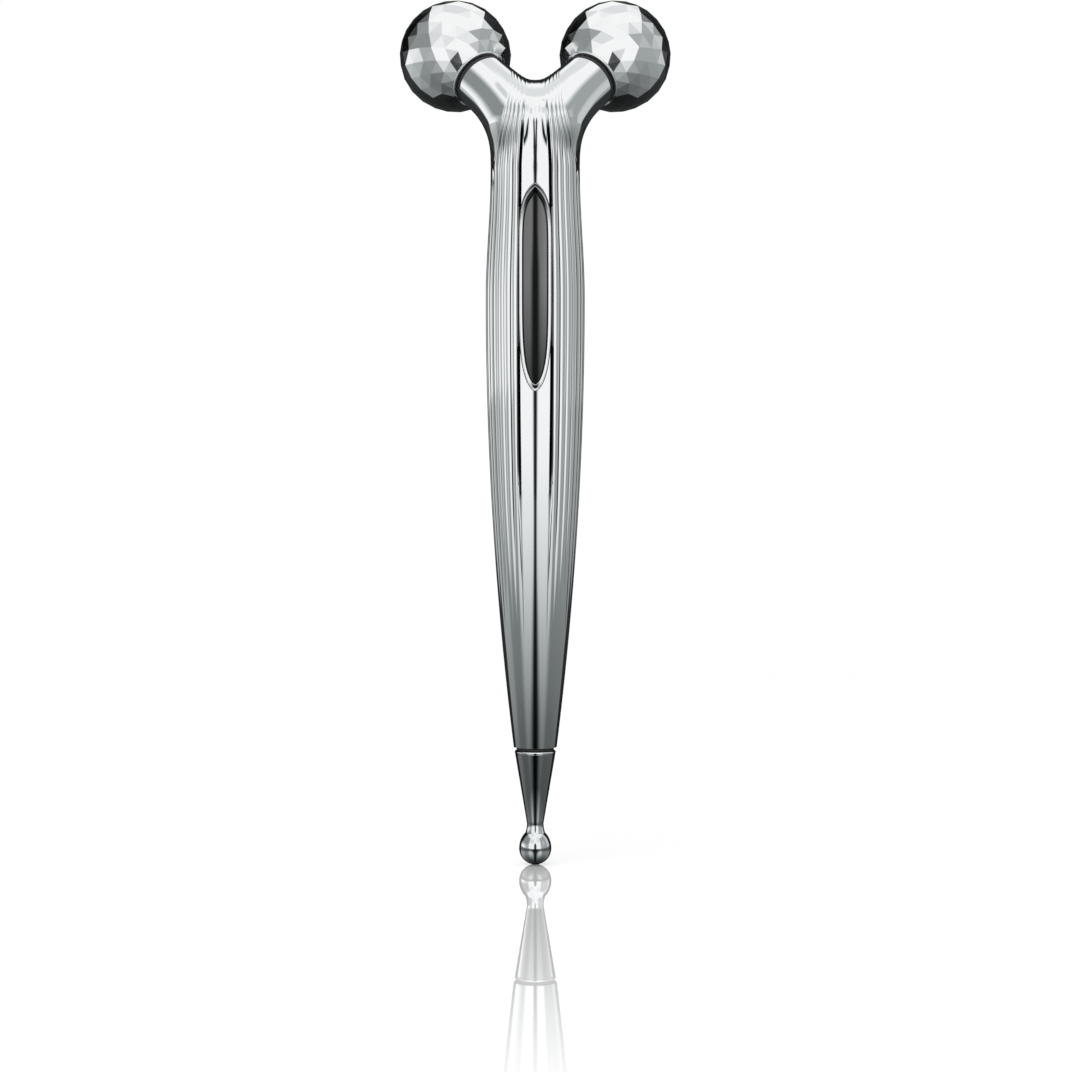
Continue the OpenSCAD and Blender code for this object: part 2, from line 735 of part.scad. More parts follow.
module yoke_frame() {
    color([0.6, 0.6, 0.58])
        difference() {
            frame_body();
            for (m = [0, 1])
                mirror([m, 0, 0])
                    on_axis()
                        translate([0, 0, arm_end_w - axle_grip - seat_gap])
                            cylinder(d = axle_d + 2 * seat_gap, h = axle_grip + 1);
            for (z = [screw_low_z, screw_high_z])
                screw_line(z, stem_back_y + 1, screw_d + 4 * seat_gap, stem_t + 2);
        }
}

module circuit_board() {
    color([0.1, 0.35, 0.2])
        difference() {
            translate([-board_w / 2, board_y, board_foot_z])
                cube([board_w, board_t, board_top_z - board_foot_z]);
            for (z = [screw_low_z, screw_high_z])
                screw_line(z, board_y + board_t + 1, screw_d + 4 * seat_gap, board_t + 2);
        }
}

module board_parts() {
    color([0.12, 0.12, 0.12])
        translate([-chip_w / 2, board_y - chip_t, screw_low_z + chip_rise - chip_len / 2])
            cube([chip_w, chip_t, chip_len]);
    color([0.7, 0.6, 0.3])
        screw_line(screw_low_z + store_rise, board_y, store_d, store_t);
}

module contact_pins() {
    barrel = (board_y - ledge_y) * 0.6;
    color([0.85, 0.7, 0.35])
        for (dz = [-pin_reach, pin_reach]) {
            screw_line(panel_z + dz, board_y, pin_d, barrel);
            screw_line(panel_z + dz, board_y - barrel, pin_d * 0.6, board_y - barrel - ledge_y);
        }
}

module frame_screws() {
    color([0.7, 0.7, 0.72])
        for (z = [screw_low_z, screw_high_z]) {
            screw_line(z, stem_back_y + screw_head_t, screw_head_d, screw_head_t);
            screw_line(z, stem_back_y, screw_d, stem_back_y - screw_tip_y);
        }
}

// Bent leaf from the board's foot down to the top of the weight, along a cubic curve.
module contact_leaf() {
    top = screw_low_z - boss_d / 2 - leaf_drop;
    y0 = board_y - leaf_t / 2;
    z1 = weight_top_z + leaf_t / 2;
    knots = [[y0, top], [y0, mix(top, z1, 0.6)], [y0 - leaf_bow, z1], [y0 + leaf_foot, z1]];
    steps = 12;
    path = [for (i = [0:steps]) let (t = i / steps, s = 1 - t)
        s * s * s * knots[0] + 3 * s * s * t * knots[1] + 3 * s * t * t * knots[2] + t * t * t * knots[3]];
    across = [for (i = [0:steps]) let (d = unit(path[min(i + 1, steps)] - path[max(i - 1, 0)]))
        leaf_t / 2 * [-d.y, d.x]];
    color([0.8, 0.62, 0.35])
        rotate([90, 0, 90])
            translate([0, 0, -leaf_w / 2])
                linear_extrude(leaf_w)
                    polygon(concat([for (i = [0:steps]) path[i] + across[i]],
                        [for (i = [steps:-1:0]) path[i] - across[i]]));
}

// ---- Weight and point ----

module handle_weight() {
    steps = 8;
    outline = [for (i = [0:steps]) let (z = mix(weight_foot_z, weight_top_z, i / steps))
        [half_w(z) * flatness - wall - weight_gap, z]];
    color([0.5, 0.5, 0.52])
        difference() {
            rotate_extrude()
                polygon(concat([[0, weight_foot_z]], outline, [[0, weight_top_z]]));
            translate([0, 0, floor_z - 1])
                cylinder(d = stud_d + 2 * seat_gap, h = stud_grip + 1 + 2 * seat_gap);
        }
}

module tip_stud() {
    color([0.65, 0.65, 0.67])
        translate([0, 0, stud_foot_z])
            cylinder(d = stud_d, h = floor_z + stud_grip - stud_foot_z);
}

// Flat ring with rounded outer edges, lying on z = 0.
module soft_ring(outer_d, inner_d, h) {
    r = h * 0.4;
    rotate_extrude()
        polygon(concat(
            [[inner_d / 2, 0]],
            [for (a = [0:22.5:90]) [outer_d / 2 - r + r * sin(a), r - r * cos(a)]],
            [for (a = [90:22.5:180]) [outer_d / 2 - r + r * sin(a), h - r - r * cos(a)]],
            [[inner_d / 2, h]]
        ));
}

module tip_seal() {
    color([0.04, 0.04, 0.04])
        translate([0, 0, tip_seal_z])
            soft_ring(collar_d - 2 * tip_seal_set, stud_d + 2 * seat_gap, tip_seal_t);
}

module tip_collar() {
    color([0.85, 0.86, 0.87])
        translate([0, 0, collar_z])
            soft_ring(collar_d, stud_d + 2 * seat_gap, collar_t);
}

// Cone, neck and ball in one piece. The ball is a half sphere below and a taller half oval
// above, which flows into the neck through a hollow curve.
module point_tip() {
    r = point_d / 2;
    neck_r = point_neck_d / 2;
    cut = 52;
    shoulder = [r * cos(cut), r + point_rise * sin(cut)];
    turn_z = shoulder.y + (point_neck_z - shoulder.y) * 0.45;
    high = [for (a = [0:6.5:cut]) [r * cos(a), r + point_rise * sin(a)]];
    neck = [for (i = [1:6]) let (t = i / 6, s = 1 - t)
        s * s * shoulder + 2 * s * t * [neck_r, turn_z] + t * t * [neck_r, point_neck_z]];
    color([0.45, 0.46, 0.47])
        difference() {
            union() {
                intersection() {
                    translate([0, 0, r])
                        sphere(d = point_d);
                    translate([-r, -r, 0])
                        cube([point_d, point_d, r]);
                }
                rotate_extrude()
                    polygon(concat([[0, r]], high, neck, [[cone_top_d / 2, collar_z], [0, collar_z]]));
            }
            translate([0, 0, stud_foot_z - seat_gap])
                cylinder(d = stud_d + 2 * seat_gap, h = collar_z - stud_foot_z + 1);
        }
}

// ---- Balls and axles: pieces of one arm, along the spin axis with the ball's centre at zero ----

module axle_piece() {
    color([0.7, 0.7, 0.72])
        difference() {
            union() {
                translate([0, 0, arm_end_w - axle_grip])
                    cylinder(d = axle_d, h = axle_tip_w - arm_end_w + axle_grip);
                translate([0, 0, arm_end_w])
                    cylinder(d = shoulder_d, h = mouth_w - arm_end_w);
            }
            translate([0, 0, clip_w - seat_gap])
                difference() {
                    cylinder(d = axle_d + 1, h = clip_t + 2 * seat_gap);
                    translate([0, 0, -1])
                        cylinder(d = axle_d - 2 * groove_depth, h = clip_t + 2);
                }
        }
}

module washer_piece() {
    color([0.75, 0.75, 0.76])
        translate([0, 0, washer_w])
            difference() {
                cylinder(d = bush_d, h = washer_t);
                translate([0, 0, -1])
                    cylinder(d = axle_d + 2 * seat_gap, h = washer_t + 2);
            }
}

module clip_piece() {
    mouth = axle_d * 0.7;
    color([0.4, 0.4, 0.42])
        translate([0, 0, clip_w])
            difference() {
                cylinder(d = clip_d, h = clip_t);
                translate([0, 0, -1])
                    cylinder(d = axle_d - 2 * groove_depth + 2 * seat_gap, h = clip_t + 2);
                translate([0, -mouth / 2, -1])
                    cube([clip_d, mouth, clip_t + 2]);
            }
}

module seal_piece() {
    color([0.03, 0.03, 0.03])
        translate([0, 0, arm_end_w])
            soft_ring(arm_d, seal_bore_d, seal_t);
}

module rim_piece() {
    color([0.88, 0.89, 0.9])
        translate([0, 0, rim_w])
            soft_ring(mouth_d, rim_bore_d, rim_t);
}

module hub_piece() {
    recess_d = flange_d + 2 * seat_gap;
    color([0.85, 0.85, 0.82])
        difference() {
            translate([0, 0, mouth_w])
                cylinder(d = hub_d, h = hub_end_w - mouth_w);
            translate([0, 0, mouth_w - 1])
                cylinder(d = hub_bore_d, h = hub_end_w - mouth_w + 2);
            translate([0, 0, mouth_w - 1])
                cylinder(d = recess_d, h = 1 + end_gap + flange_t + seat_gap);
            translate([0, 0, mouth_w - 1])
                cylinder(d = bush_d + 2 * seat_gap, h = 1 + end_gap + bush_len + seat_gap);
            translate([0, 0, outer_bush_w - seat_gap])
                cylinder(d = bush_d + 2 * seat_gap, h = hub_end_w);
            translate([0, 0, outer_flange_w - seat_gap])
                cylinder(d = recess_d, h = hub_end_w);
        }
}

module bush_piece(inner) {
    w = inner ? inner_bush_w : outer_bush_w;
    flange_w = inner ? inner_bush_w : outer_flange_w;
    color([0.72, 0.55, 0.3])
        difference() {
            union() {
                translate([0, 0, w])
                    cylinder(d = bush_d, h = bush_len);
                translate([0, 0, flange_w])
                    cylinder(d = flange_d, h = flange_t);
            }
            translate([0, 0, w - 1])
                cylinder(d = axle_bore_d, h = bush_len + 2);
        }
}

// Rows of flat facets: every other ring of corners is turned by half a facet.
module facet_ball() {
    mouth_angle = acos(2 * mouth_w / ball_d);
    corners = [for (k = [0:facet_rows], i = [0:facet_count - 1])
        let (
            polar = mix(pole_angle, mouth_angle, k / facet_rows),
            round_a = (i + (k % 2) / 2) * 360 / facet_count
        )
        ball_d / 2 * [sin(polar) * cos(round_a), sin(polar) * sin(round_a), cos(polar)]];
    bands = [for (k = [0:facet_rows - 1], i = [0:facet_count - 1])
        let (
            n = (i + 1) % facet_count,
            a = k * facet_count + i,
            b = k * facet_count + n,
            c = (k + 1) * facet_count + i,
            d = (k + 1) * facet_count + n
        )
        each (k % 2 == 0 ? [[a, b, c], [b, d, c]] : [[a, d, c], [a, b, d]])];
    last = facet_rows * facet_count;
    ends = [for (i = [1:facet_count - 2]) each [[0, i + 1, i], [last, last + i, last + i + 1]]];
    polyhedron(points = corners, faces = concat(bands, ends), convexity = 2);
}

module ball_piece() {
    color([0.8, 0.81, 0.82])
        difference() {
            facet_ball();
            translate([0, 0, mouth_w - 1])
                cylinder(d = hub_d + 2 * seat_gap, h = hub_end_w - mouth_w + 1 + seat_gap);
        }
}

module right() {
    on_axis()
        children();
}

module left() {
    mirror([1, 0, 0])
        on_axis()
            children();
}

front_shell();
rear_shell();
panel_bezel();
panel_window();
panel_gasket();
solar_cell();
contact_pins();
circuit_board();
board_parts();
contact_leaf();
yoke_frame();
frame_screws();
handle_weight();
tip_stud();
tip_seal();
tip_collar();
point_tip();
right() axle_piece();  // right_axle
right() washer_piece();  // right_washer
right() clip_piece();  // right_clip
right() seal_piece();  // right_arm_seal
right() rim_piece();  // right_ball_rim
right() hub_piece();  // right_hub
right() bush_piece(true);  // right_inner_bush
right() bush_piece(false);  // right_outer_bush
right() ball_piece();  // right_ball
left() axle_piece();  // left_axle
left() washer_piece();  // left_washer
left() clip_piece();  // left_clip
left() seal_piece();  // left_arm_seal
left() rim_piece();  // left_ball_rim
left() hub_piece();  // left_hub
left() bush_piece(true);  // left_inner_bush
left() bush_piece(false);  // left_outer_bush
left() ball_piece();  // left_ball
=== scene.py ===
import bpy
import bmesh
import math
import numpy as np
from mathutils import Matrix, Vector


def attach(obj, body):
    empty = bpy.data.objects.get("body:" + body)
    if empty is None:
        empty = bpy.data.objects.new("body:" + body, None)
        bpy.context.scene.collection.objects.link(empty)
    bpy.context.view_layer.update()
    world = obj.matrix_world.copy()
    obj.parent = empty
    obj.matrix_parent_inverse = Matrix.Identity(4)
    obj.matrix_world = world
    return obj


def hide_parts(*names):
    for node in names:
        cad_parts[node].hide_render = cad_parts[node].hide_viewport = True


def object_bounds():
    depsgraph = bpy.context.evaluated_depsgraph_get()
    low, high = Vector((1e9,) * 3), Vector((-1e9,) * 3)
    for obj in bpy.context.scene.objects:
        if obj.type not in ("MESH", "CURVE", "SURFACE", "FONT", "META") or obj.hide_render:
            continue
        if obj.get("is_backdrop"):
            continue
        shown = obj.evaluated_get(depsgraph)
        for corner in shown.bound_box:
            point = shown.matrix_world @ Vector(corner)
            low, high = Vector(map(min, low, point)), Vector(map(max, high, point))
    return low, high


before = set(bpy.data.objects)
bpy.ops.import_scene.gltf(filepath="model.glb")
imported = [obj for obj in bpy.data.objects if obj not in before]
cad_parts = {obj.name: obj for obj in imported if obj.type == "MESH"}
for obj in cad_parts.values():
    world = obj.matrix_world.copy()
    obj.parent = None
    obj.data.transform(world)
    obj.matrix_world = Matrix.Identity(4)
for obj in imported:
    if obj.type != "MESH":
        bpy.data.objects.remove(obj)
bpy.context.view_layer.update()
mm = 0.001
print("stage: frame loaded,", len(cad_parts), "nodes")


def ease(t):
    # smooth step: 3 t^2 - 2 t^3 with t held between 0 and 1
    c = np.clip(t, 0, 1)
    return c * c * (3 - 2 * c)


def mix(a, b, t):
    # straight blend from a to b
    return a + (b - a) * t


def unit(v):
    # vectors divided by their length
    return v / np.linalg.norm(v, axis=-1, keepdims=True)


def xyz(x, y, z):
    # coordinates of any shapes that fit each other, side by side
    return np.stack(np.broadcast_arrays(x, y, z), axis=-1)


def ringed(radius, angle, z):
    # points at a radius, an angle from +X and a height
    return xyz(radius * np.cos(angle), radius * np.sin(angle), z)


def gridFaces(corners, closed=False):
    # quads between neighbouring rows and columns of a grid of corner numbers
    right = np.roll(corners, -1, axis=1) if closed else corners[:, 1:]
    left = corners if closed else corners[:, :-1]
    return np.stack([left[:-1], right[:-1], right[1:], left[1:]], axis=-1).reshape(-1, 4)


def gridCorners(grid):
    # corner numbers of a grid of points, row by row
    rows, columns = grid.shape[:2]
    return np.arange(rows * columns).reshape(rows, columns)


def makeObject(name, points, faces):
    # points in millimetres and lists of corner numbers become one object in metres
    mesh = bpy.data.meshes.new(name)
    mesh.from_pydata((np.asarray(points, float) * mm).tolist(), [], faces)
    mesh.update()
    obj = bpy.data.objects.new(name, mesh)
    bpy.context.scene.collection.objects.link(obj)
    return obj


def makeGrid(name, grid, closed=False):
    # a grid of points in millimetres becomes one object of quads
    return makeObject(name, grid.reshape(-1, 3), gridFaces(gridCorners(grid), closed).tolist())


def finishMesh(obj, weld=1e-7, sharp=30.0, smooth=True, recalculate=True):
    # doubles merged, faces turned outwards, edges steeper than the sharp angle kept crisp
    bm = bmesh.new()
    bm.from_mesh(obj.data)
    if weld:
        bmesh.ops.remove_doubles(bm, verts=bm.verts, dist=weld)
        bmesh.ops.dissolve_degenerate(bm, edges=bm.edges, dist=weld)
    if recalculate:
        bmesh.ops.recalc_face_normals(bm, faces=bm.faces)
    bm.to_mesh(obj.data)
    bm.free()
    obj.data.polygons.foreach_set("use_smooth", np.full(len(obj.data.polygons), smooth))
    if smooth:
        obj.data.set_sharp_from_angle(angle=math.radians(sharp))
    obj.data.update()
    return obj


def applyModifiers(obj):
    # the object's mesh becomes what its modifiers make of it
    graph = bpy.context.evaluated_depsgraph_get()
    done = bpy.data.meshes.new_from_object(obj.evaluated_get(graph), depsgraph=graph)
    obj.modifiers.clear()
    obj.data = done


def pointsOf(obj):
    # the mesh's points in millimetres
    flat = np.empty(len(obj.data.vertices) * 3)
    obj.data.vertices.foreach_get("co", flat)
    return flat.reshape(-1, 3) / mm


def paintPoints(obj, name, kind, values):
    # one number or colour per point, kept under a name that shaders read
    layer = obj.data.attributes.new(name, kind, "POINT")
    field = "color" if kind == "FLOAT_COLOR" else "value"
    layer.data.foreach_set(field, values.astype(np.float32).ravel())


def coverWith(obj, material):
    # the object's only material
    obj.data.materials.clear()
    obj.data.materials.append(material)


def addPiece(obj, body, slot, *nodes, coat=None):
    # one finished piece with its body, slot and nodes; its material bears the slot's name unless
    # a coat is named
    coverWith(obj, materials[coat or slot])
    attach(obj, body)
    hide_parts(*nodes)


# Materials. Each group gives only masks and heights, and every shader stands in its material.

def fillInputs(node, inputs):
    # a node's inputs by label or place, each fed by a socket or given a value
    for label, value in inputs.items():
        if isinstance(value, bpy.types.NodeSocket):
            node.id_data.links.new(value, node.inputs[label])
        else:
            node.inputs[label].default_value = value


def addNode(tree, kind, inputs=None, **settings):
    # one node with its settings and inputs
    node = tree.nodes.new(kind)
    for key, value in settings.items():
        setattr(node, key, value)
    fillInputs(node, inputs or {})
    return node


def mathNode(tree, operation, a, b):
    # one sum of two numbers or sockets
    return addNode(tree, "ShaderNodeMath", {0: a, 1: b}, operation=operation).outputs[0]


def rangeNode(tree, source, low, high, fromLow=0.0, fromHigh=1.0):
    # a number carried from one range to another
    return addNode(tree, "ShaderNodeMapRange", {
        "Value": source, "From Min": fromLow, "From Max": fromHigh, "To Min": low, "To Max": high,
    }).outputs["Result"]


def colourNode(tree, factor, low, high):
    # a colour between two colours or sockets by a mask; the node takes the two as inputs 6 and 7
    low, high = (c if isinstance(c, bpy.types.NodeSocket) else (*c, 1) for c in (low, high))
    return addNode(tree, "ShaderNodeMix", {0: factor, 6: low, 7: high}, data_type="RGBA").outputs[2]


def bumpNode(tree, height, strength, distance):
    # a height in metres that turns the normals a little
    return addNode(tree, "ShaderNodeBump", {
        "Height": height, "Strength": strength, "Distance": distance}).outputs["Normal"]


def newGroup(name, inputs, outputs):
    # an empty shader group: a place and named numbers go in, named numbers come out
    group = bpy.data.node_groups.new(name, "ShaderNodeTree")
    group.interface.new_socket("Vector", in_out="INPUT", socket_type="NodeSocketVector")
    for label in inputs:
        group.interface.new_socket(label, in_out="INPUT", socket_type="NodeSocketFloat")
    for label in outputs:
        group.interface.new_socket(label, in_out="OUTPUT", socket_type="NodeSocketFloat")
    return group, group.nodes.new("NodeGroupInput").outputs, group.nodes.new("NodeGroupOutput")


def buildPolishGroup():
    # polished metal: cloudy wipe marks as a mask, and a height of soft waviness with hairlines
    group, given, out = newGroup("polishMarks", ["Cloud Scale", "Hairline Scale", "Hairline Share"],
                                 ["Cloud", "Height"])
    cloud = addNode(group, "ShaderNodeTexNoise", {
        "Vector": given["Vector"], "Scale": given["Cloud Scale"], "Detail": 4.0, "Roughness": 0.6,
    }).outputs["Fac"]
    turned = addNode(group, "ShaderNodeMapping", {
        "Vector": given["Vector"], "Rotation": (0.3, 0.5, 0.9), "Scale": (14.0, 1.0, 1.0),
    }, vector_type="POINT").outputs["Vector"]
    hair = addNode(group, "ShaderNodeTexNoise", {
        "Vector": turned, "Scale": given["Hairline Scale"], "Detail": 2.0, "Roughness": 0.5,
    }).outputs["Fac"]
    share = mathNode(group, "MULTIPLY", mathNode(group, "POWER", hair, 6.0),
                     given["Hairline Share"])
    fillInputs(out, {"Cloud": cloud, "Height": mathNode(group, "SUBTRACT", cloud, share)})
    return group


def buildGrainGroup():
    # moulded, cast or sintered grain: fine cells mixed with a broader unevenness
    group, given, out = newGroup("surfaceGrain", ["Grain Scale", "Patch Scale"],
                                 ["Grain", "Patch"])
    cells = addNode(group, "ShaderNodeTexVoronoi", {
        "Vector": given["Vector"], "Scale": given["Grain Scale"]})
    patch = addNode(group, "ShaderNodeTexNoise", {
        "Vector": given["Vector"], "Scale": given["Patch Scale"], "Detail": 3.0})
    fillInputs(out, {"Grain": cells.outputs["Distance"], "Patch": patch.outputs["Fac"]})
    return group


polishMarks = buildPolishGroup()
surfaceGrain = buildGrainGroup()


def startMaterial(name, group, groupValues):
    # a material with its node tree, its shader and what one placed group gives
    material = bpy.data.materials.new(name)
    material.use_nodes = True
    tree = material.node_tree
    place = tree.nodes.new("ShaderNodeTexCoord").outputs["Object"]
    marks = addNode(tree, "ShaderNodeGroup", {"Vector": place, **groupValues}, node_tree=group)
    return material, tree, tree.nodes["Principled BSDF"], marks.outputs


# Each mirror of the window gives its weight at two places, and these two places in metres.
glass = {
    "grain": {"Grain Scale": 4000.0, "Patch Scale": 300.0},
    "dark": (0.008, 0.009, 0.0095), "light": (0.01, 0.011, 0.0115),
    "rightMirror": (0.3, 1.0, -0.0002, 0.0019), "leftMirror": (0.72, 0.0, -0.0004, 0.0),
    "footMirror": (0.25, 1.0, 0.08, 0.094),
    "shader": {"IOR": 1.3, "Roughness": 0.06, "Coat IOR": 2.6, "Coat Roughness": 0.04},
}


def windowMaterial(name):
    # dark glass with a strong mirror that grows from its middle to its right edge and fades to
    # its foot
    material, tree, shader, marks = startMaterial(name, surfaceGrain, glass["grain"])
    place = tree.nodes["Texture Coordinate"].outputs["Object"]
    split = addNode(tree, "ShaderNodeSeparateXYZ", {"Vector": place}).outputs
    right = rangeNode(tree, split["X"], *glass["rightMirror"])
    left = rangeNode(tree, split["X"], *glass["leftMirror"])
    foot = rangeNode(tree, split["Z"], *glass["footMirror"])
    fillInputs(shader, {
        "Coat Weight": mathNode(tree, "MULTIPLY", mathNode(tree, "MAXIMUM", right, left), foot),
        "Base Color": colourNode(tree, marks["Patch"], glass["dark"], glass["light"]),
        **glass["shader"]})
    return material


# The groove tone is the colour of the painted shade in grooves and channels.
chrome = {
    "hairlines": {"Hairline Scale": 700.0, "Hairline Share": 0.35}, "colourRange": (0.35, 0.7),
    "roughRange": (0.3, 0.75), "grooveShadeTone": (0.02, 0.021, 0.022),
}


def chromeMaterial(name, bright, dull, roughness, wave=2.0e-6, grooves=False, cloudScale=90.0):
    # chrome plate: cloudy wipe marks in colour and roughness, soft waviness, and painted shade that
    # darkens the grooves
    material, tree, shader, marks = startMaterial(
        name, polishMarks, {"Cloud Scale": cloudScale, **chrome["hairlines"]})
    colour = rangeNode(tree, marks["Cloud"], 0, 1, *chrome["colourRange"])
    colour = colourNode(tree, colour, bright, dull)
    # painted shade: where asked, the groove attribute darkens the colour in grooves and channels
    if grooves:
        depth = addNode(tree, "ShaderNodeAttribute", attribute_name="groove").outputs["Fac"]
        colour = colourNode(tree, depth, colour, chrome["grooveShadeTone"])
    fillInputs(shader, {
        "Metallic": 1.0, "Base Color": colour, "Normal": bumpNode(tree, marks["Height"], 1.0, wave),
        "Roughness": rangeNode(tree, marks["Cloud"], *roughness, *chrome["roughRange"])})
    return material


grain = {"patchScale": 300.0, "patchRange": (0.3, 0.7), "bumpStrength": 0.6}


def plainMaterial(name, light, dark, roughness, metallic=0.0, grainScale=4000.0, bump=2.0e-6):
    # moulded, cast, turned or sintered pieces: grain in colour, roughness and height
    material, tree, shader, marks = startMaterial(name, surfaceGrain, {
        "Grain Scale": grainScale, "Patch Scale": grain["patchScale"]})
    patch = rangeNode(tree, marks["Patch"], 0, 1, *grain["patchRange"])
    fillInputs(shader, {
        "Metallic": metallic, "Base Color": colourNode(tree, patch, light, dark),
        "Roughness": rangeNode(tree, marks["Patch"], *roughness, *grain["patchRange"]),
        "Normal": bumpNode(tree, marks["Grain"], grain["bumpStrength"], bump)})
    return material


# Colours where a surface is bright and dull, or light and dark, and its range of roughness.
trimLook = ((0.9, 0.915, 0.92), (0.86, 0.875, 0.88), (0.04, 0.08))
materials = {
    # polished and bezel chrome take painted shade in their grooves and channel
    "polished_chrome": chromeMaterial("polishedChrome", (0.90, 0.915, 0.92), (0.87, 0.885, 0.892),
                                      (0.035, 0.07), grooves=True),
    "cut_chrome": chromeMaterial("cutChrome", (0.92, 0.93, 0.935), (0.9, 0.91, 0.915), (0.1, 0.15),
                                 wave=6.0e-7, cloudScale=220.0),
    "bezel_chrome": chromeMaterial("bezelChrome", *trimLook, grooves=True),
    "trim_chrome": chromeMaterial("trimChrome", *trimLook),
    "point_chrome": chromeMaterial("pointChrome", (0.86, 0.875, 0.885), (0.82, 0.835, 0.845),
                                   (0.04, 0.08)),
    "dark_window": windowMaterial("darkWindow"),
    "black_seal": plainMaterial("blackSeal", (0.012, 0.012, 0.013), (0.02, 0.02, 0.021),
                                (0.45, 0.6), bump=6.0e-6),
    "cell": plainMaterial("siliconCell", (0.012, 0.014, 0.035), (0.02, 0.024, 0.055), (0.2, 0.35),
                          grainScale=1500.0),
    "gilt_contact": plainMaterial("giltContact", (0.82, 0.64, 0.28), (0.74, 0.56, 0.24),
                                  (0.18, 0.3), 1.0),
    "board": plainMaterial("boardMask", (0.03, 0.18, 0.08), (0.045, 0.23, 0.1), (0.3, 0.45)),
    "chip_black": plainMaterial("chipBlack", (0.02, 0.02, 0.022), (0.04, 0.04, 0.042), (0.4, 0.6)),
    "zinc_frame": plainMaterial("castZinc", (0.52, 0.52, 0.53), (0.42, 0.42, 0.43), (0.35, 0.55),
                                1.0, grainScale=2500.0, bump=1.2e-5),
    "steel": plainMaterial("turnedSteel", (0.6, 0.61, 0.62), (0.5, 0.51, 0.52), (0.2, 0.35), 1.0),
    "weight_steel": plainMaterial("plainSteel", (0.46, 0.46, 0.47), (0.36, 0.36, 0.37), (0.3, 0.5),
                                  1.0),
    "bush_bronze": plainMaterial("sinteredBronze", (0.62, 0.4, 0.18), (0.5, 0.32, 0.15),
                                 (0.4, 0.55), 1.0, grainScale=6000.0, bump=8.0e-6),
    "hub_plastic": plainMaterial("hubPlastic", (0.74, 0.74, 0.71), (0.66, 0.66, 0.64), (0.4, 0.55)),
}
print("stage: materials")

# Form of the housing, in millimetres.
handle = {
    "footZ": 19.1, "footWidth": 7.0, "bellyZ": 92.0, "bellyWidth": 16.1, "neckZ": 112.7,
    "neckWidth": 14.5, "flatness": 0.92, "floorZ": 24.3, "wall": 1.2, "partingGap": 0.06,
    "joinDrop": 2.7, "crownRise": 5.3, "crownY": 0.5,
}
flutes = {
    "pitch": 10.0, "broadHalf": 20.0, "depth": 0.2, "seamDepth": 0.42, "seamHalf": 0.33,
    "hollow": 0.07, "crownHollow": 2.2, "crownFrom": 114.0, "crownOver": 5.0,
    "ridgeSoftness": 0.65, "startZ": 34.0, "fullZ": 62.0, "crownLeft": 0.15,
    "seamStartZ": 55.0, "seamFullZ": 68.0,
}
fork = {
    "spread": 32.3, "rise": 41.0, "armWidth": 9.4, "straight": 2.3, "bendRadius": 32.0,
    "bend": 14.5, "domeHeight": 14.3, "domeLean": 0.02, "crotchBlend": 5.3, "forkBlend": 5.2,
    "stripTop": 4.3,
}
roller = {
    "diameter": 18.5, "centre": (13.25, 9.8, 132.4), "around": 20, "rows": 11, "poleAngle": 12.0,
    "mouth": 10.2, "rim": 0.35, "rimBore": 6.3, "endGap": 0.1, "seal": 1.0, "sealBore": 5.66,
    "bore": 4.2, "boreEnd": 5.66, "edge": 0.035, "bevelFrom": 3.0,
}

spread, rise = math.radians(fork["spread"]), math.radians(fork["rise"])
spinAxis = np.array([math.sin(spread), math.cos(spread) * math.cos(rise),
                     math.cos(spread) * math.sin(rise)])
ballAt = np.array(roller["centre"])
mouthW = -math.sqrt(roller["diameter"] ** 2 - roller["mouth"] ** 2) / 2
rimW = mouthW - roller["rim"]
armEndW = rimW - roller["endGap"] - roller["seal"]
armEnd = ballAt + armEndW * spinAxis
bendAt = armEnd - fork["straight"] * spinAxis
bendDir = unit(np.array([0, 0, -1.0]) + spinAxis[2] * spinAxis)
bendSide = np.cross(spinAxis, bendDir)
neckZ = handle["neckZ"]
joinZ = neckZ - handle["joinDrop"]
crownZ = neckZ + handle["crownRise"]
mirrorX = np.array([-1.0, 1.0, 1.0])


def halfWidth(z):
    # half the handle's width: a parabola below the belly, a smooth step from there to the neck
    belly, foot, neck = (handle[part + "Width"] / 2 for part in ("belly", "foot", "neck"))
    low = (handle["bellyZ"] - z) / (handle["bellyZ"] - handle["footZ"])
    high = (z - handle["bellyZ"]) / (neckZ - handle["bellyZ"])
    return np.where(z < handle["bellyZ"], belly - (belly - foot) * low ** 2,
                    belly - (belly - neck) * ease(high))


def blend(a, b, width):
    # smaller of two distances, rounded where they come within the width of each other
    h = np.maximum(width - np.abs(a - b), 0) / width
    return np.minimum(a, b) - h ** 3 * width / 6


def armGap(p):
    # distance to a round bar that runs straight from the ball and then bends down along an arc
    rel = p - bendAt
    u, v, w = -(rel @ spinAxis), rel @ bendDir, rel @ bendSide
    radius, most = fork["bendRadius"], math.radians(fork["bend"])
    turn = np.arctan2(u, radius - v)
    straight = np.hypot(v, w)
    curved = np.hypot(np.hypot(u, radius - v) - radius, w)
    past = np.sqrt((u - radius * math.sin(most)) ** 2 + (v - radius * (1 - math.cos(most))) ** 2
                   + w ** 2)
    return (np.where(u <= 0, straight, np.where(turn < most, curved, past))
            - fork["armWidth"] / 2)


def bodyGap(p):
    # distance to an oval column that closes in a leaning dome above the neck
    a = halfWidth(np.minimum(p[..., 2], neckZ))
    up = np.maximum(p[..., 2] - neckZ, 0)
    y = p[..., 1] - fork["domeLean"] * up ** 2
    b = a * handle["flatness"]
    return (np.sqrt((p[..., 0] / a) ** 2 + (y / b) ** 2 + (up / fork["domeHeight"]) ** 2) - 1) * b


def housingGap(p):
    # distance to handle and arms together
    arms = blend(armGap(p), armGap(p * mirrorX), fork["crotchBlend"])
    return blend(arms, bodyGap(p), fork["forkBlend"])


